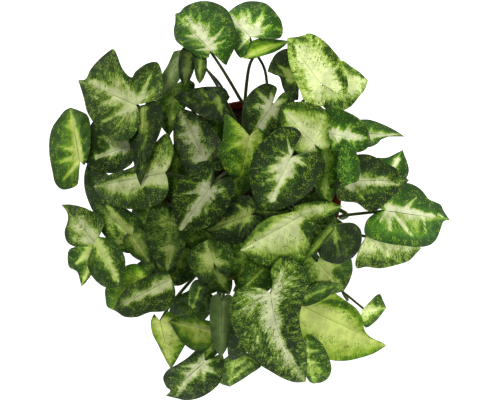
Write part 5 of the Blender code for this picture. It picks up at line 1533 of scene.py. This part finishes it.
def turn_profile(name, profile, steps):
    """A closed body turned from a profile about the pot's axis."""
    deselect()
    bpy.ops.mesh.primitive_plane_add(size=1)
    body = bpy.context.object
    body.name = name
    mesh = body.data
    mesh.clear_geometry()
    mesh.from_pydata([(r * MM, 0, z * MM) for r, z in profile],
                     [(i, i + 1) for i in range(len(profile) - 1)], [])
    turn = body.modifiers.new("turn", "SCREW")
    turn.steps = steps
    turn.render_steps = steps
    turn.use_merge_vertices = True
    turn.merge_threshold = 1e-5
    turn.use_normal_calculate = True
    bpy.ops.object.modifier_apply(modifier="turn")
    return body


def pot_radius(z):
    """The pot's outer radius below the band."""
    return BASE_RADIUS + (RIM_RADIUS - BAND_STEP - BASE_RADIUS) * z / (POT_HEIGHT - BAND_HEIGHT)


step = POT_HEIGHT - BAND_HEIGHT
inside = [
    (0, FLOOR), (pot_radius(FLOOR) - WALL - 1.5, FLOOR), (pot_radius(FLOOR + 2) - WALL, FLOOR + 2),
    (pot_radius(step) - WALL, step - 0.5), (RIM_RADIUS - WALL, step + 1.2)]
rim = [
    (RIM_RADIUS - WALL, POT_HEIGHT - 0.8), (RIM_RADIUS - WALL + 0.4, POT_HEIGHT),
    (RIM_RADIUS - 0.5, POT_HEIGHT), (RIM_RADIUS, POT_HEIGHT - 0.5)]
outside = [
    (RIM_RADIUS - 0.3, step + 0.5), (RIM_RADIUS - 0.8, step), (pot_radius(step) + 0.5, step),
    (pot_radius(step), step - 0.6), (pot_radius(2.2), 2.2), (pot_radius(1.0) - 0.5, 0.5),
    (BASE_RADIUS - 1.6, 0), (0, 0)]
pot = turn_profile("nursery_pot", inside + rim + outside, POT_FACES)
print("pot:", len(pot.data.polygons), "faces before its holes are cut")

# %% [markdown]
# ## The drain holes
#
# A ring of round holes in the floor lets the water out. A turned profile can't hold them, because
# it is the same all round. So each is cut with a cylinder, as a punch would do it, and the cylinder
# is thrown away afterwards.

# %% Cut the drain holes
PUNCH_SIDES = 32
DRAINS = 8
DRAIN_RADIUS = 4.0
DRAIN_CIRCLE = 33.0
DRAIN_DEPTH = 12.0


def select_only(item):
    """Make one object the selected and active one."""
    deselect()
    item.select_set(True)
    bpy.context.view_layer.objects.active = item


for k in range(DRAINS):
    turn = 2 * math.pi * (k + 0.5) / DRAINS
    deselect()
    bpy.ops.mesh.primitive_cylinder_add(
        vertices=PUNCH_SIDES, radius=DRAIN_RADIUS * MM, depth=DRAIN_DEPTH * MM,
        location=(DRAIN_CIRCLE * MM * math.cos(turn), DRAIN_CIRCLE * MM * math.sin(turn), 0))
    plug = bpy.context.object
    hole = pot.modifiers.new("drain", "BOOLEAN")
    hole.operation = "DIFFERENCE"
    hole.object = plug
    select_only(pot)
    bpy.ops.object.modifier_apply(modifier="drain")
    bpy.data.objects.remove(plug)
print("pot:", len(pot.data.polygons), "faces with", DRAINS, "holes")

# %% [markdown]
# ## The plastic
#
# Nursery plastic is brick red, a little cloudy from dust, and pebbled so finely that it shines only
# softly. One noise serves for both the dust and the wear, and a much finer one for the pebbles.

# %% Dress the pot
plastic, satin = shader("brick_red_plastic", linear("8f2f1e"), 0.45)
sheen(satin, 0.3)
tree = plastic.node_tree
place = object_place(tree)
dust = clouds(tree, place, 24, 6)
reds = ramp(tree, dust, (0.3, linear("7e2617")), (0.8, linear("99341f")))
tree.links.new(reds, satin.inputs["Base Color"])
wear = add_node(tree, "MapRange", {"To Min": 0.4, "To Max": 0.6}, {"Value": dust})
tree.links.new(wear.outputs[0], satin.inputs["Roughness"])
add_bump(tree, satin, clouds(tree, place, 1600, 2), 0.12, 0.0003)
pot.data.materials.append(plastic)
select_only(pot)
bpy.ops.object.shade_smooth_by_angle(angle=math.radians(18))
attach(pot, "root")
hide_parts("pot")
print("pot material:", plastic.name)

# %% [markdown]
# ## The soil
#
# Potting soil is dark peat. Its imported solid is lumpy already, so it keeps its shape and only gets
# a material: brown grains from noise, and the same noise as a rough surface.

# %% Dress the soil
soil = frame["nodes"]["soil"]
earth, matte = shader("potting_soil", linear("231a15"), 0.95)
tree = earth.node_tree
grains = clouds(tree, object_place(tree), 420, 4)
browns = ramp(tree, grains, (0.35, linear("15100d")), (0.75, linear("4a3626")))
tree.links.new(browns, matte.inputs["Base Color"])
add_bump(tree, matte, grains, 0.7, 0.0012)
soil.data.materials.clear()
soil.data.materials.append(earth)
print("soil wears", soil.data.materials[0].name)

# %% [markdown]
# ## The crumbs
#
# On top lie peat crumbs, bark bits and a few larger grains. One crumb is a small rough ball.
# Scattering could be left to a modifier, but a seeded loop tells exactly where each crumb lies and
# keeps them off the canes. Each copy is turned and stretched in its own way, and all of them are
# one piece.

# %% Strew the crumbs
CRUMBS = 420
CRUMB_SIZES = (0.7, 0.9, 1.1, 1.6, 2.3)
SOIL_REACH = 53.5
CANE_ROOM = 2.2
ROUGHER = 0.45

deselect()
bpy.ops.mesh.primitive_ico_sphere_add(subdivisions=2, radius=1)
crumb = bpy.context.object
crumb.name = "soil_crumbs"
draw = random.Random(11)
lumps = [Vector(v.co) * (1 + ROUGHER * noise.noise(v.co * 1.7)) for v in crumb.data.vertices]
one = bmesh.new()
one.from_mesh(crumb.data)
heap = bmesh.new()
for _ in range(CRUMBS):
    reach = SOIL_REACH * math.sqrt(draw.random())
    turn = draw.uniform(0, 2 * math.pi)
    x, y = reach * math.cos(turn), reach * math.sin(turn)
    size = draw.choice(CRUMB_SIZES)
    angle = draw.uniform(0, 6.28)
    axis = Vector((draw.gauss(0, 1), draw.gauss(0, 1), 1)).normalized()
    shape = Matrix.Diagonal((size, size * draw.uniform(0.5, 1), size * draw.uniform(0.35, 0.8), 1))
    if min(math.dist((x, y), foot) for foot in SHOOTS.values()) < CANE_RADIUS + CANE_ROOM:
        continue
    move = Matrix.Translation((x, y, SOIL_TOP + 0.2 + 0.3 * size)) @ Matrix.Rotation(angle, 4, axis)
    fresh = [heap.verts.new(move @ shape @ v * MM) for v in lumps]
    for face in one.faces:
        heap.faces.new([fresh[v.index] for v in face.verts])
heap.to_mesh(crumb.data)
heap.free()
one.free()
bark = earth.copy()
bark.name = "bark_crumbs"
for node in bark.node_tree.nodes:
    if node.type == "VALTORGB":
        node.color_ramp.elements[1].color = (*linear("6b4c33"), 1)
crumb.data.materials.append(bark)
bpy.ops.object.shade_smooth_by_angle(angle=math.radians(40))
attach(crumb, "root")
print("crumb faces:", len(crumb.data.polygons))
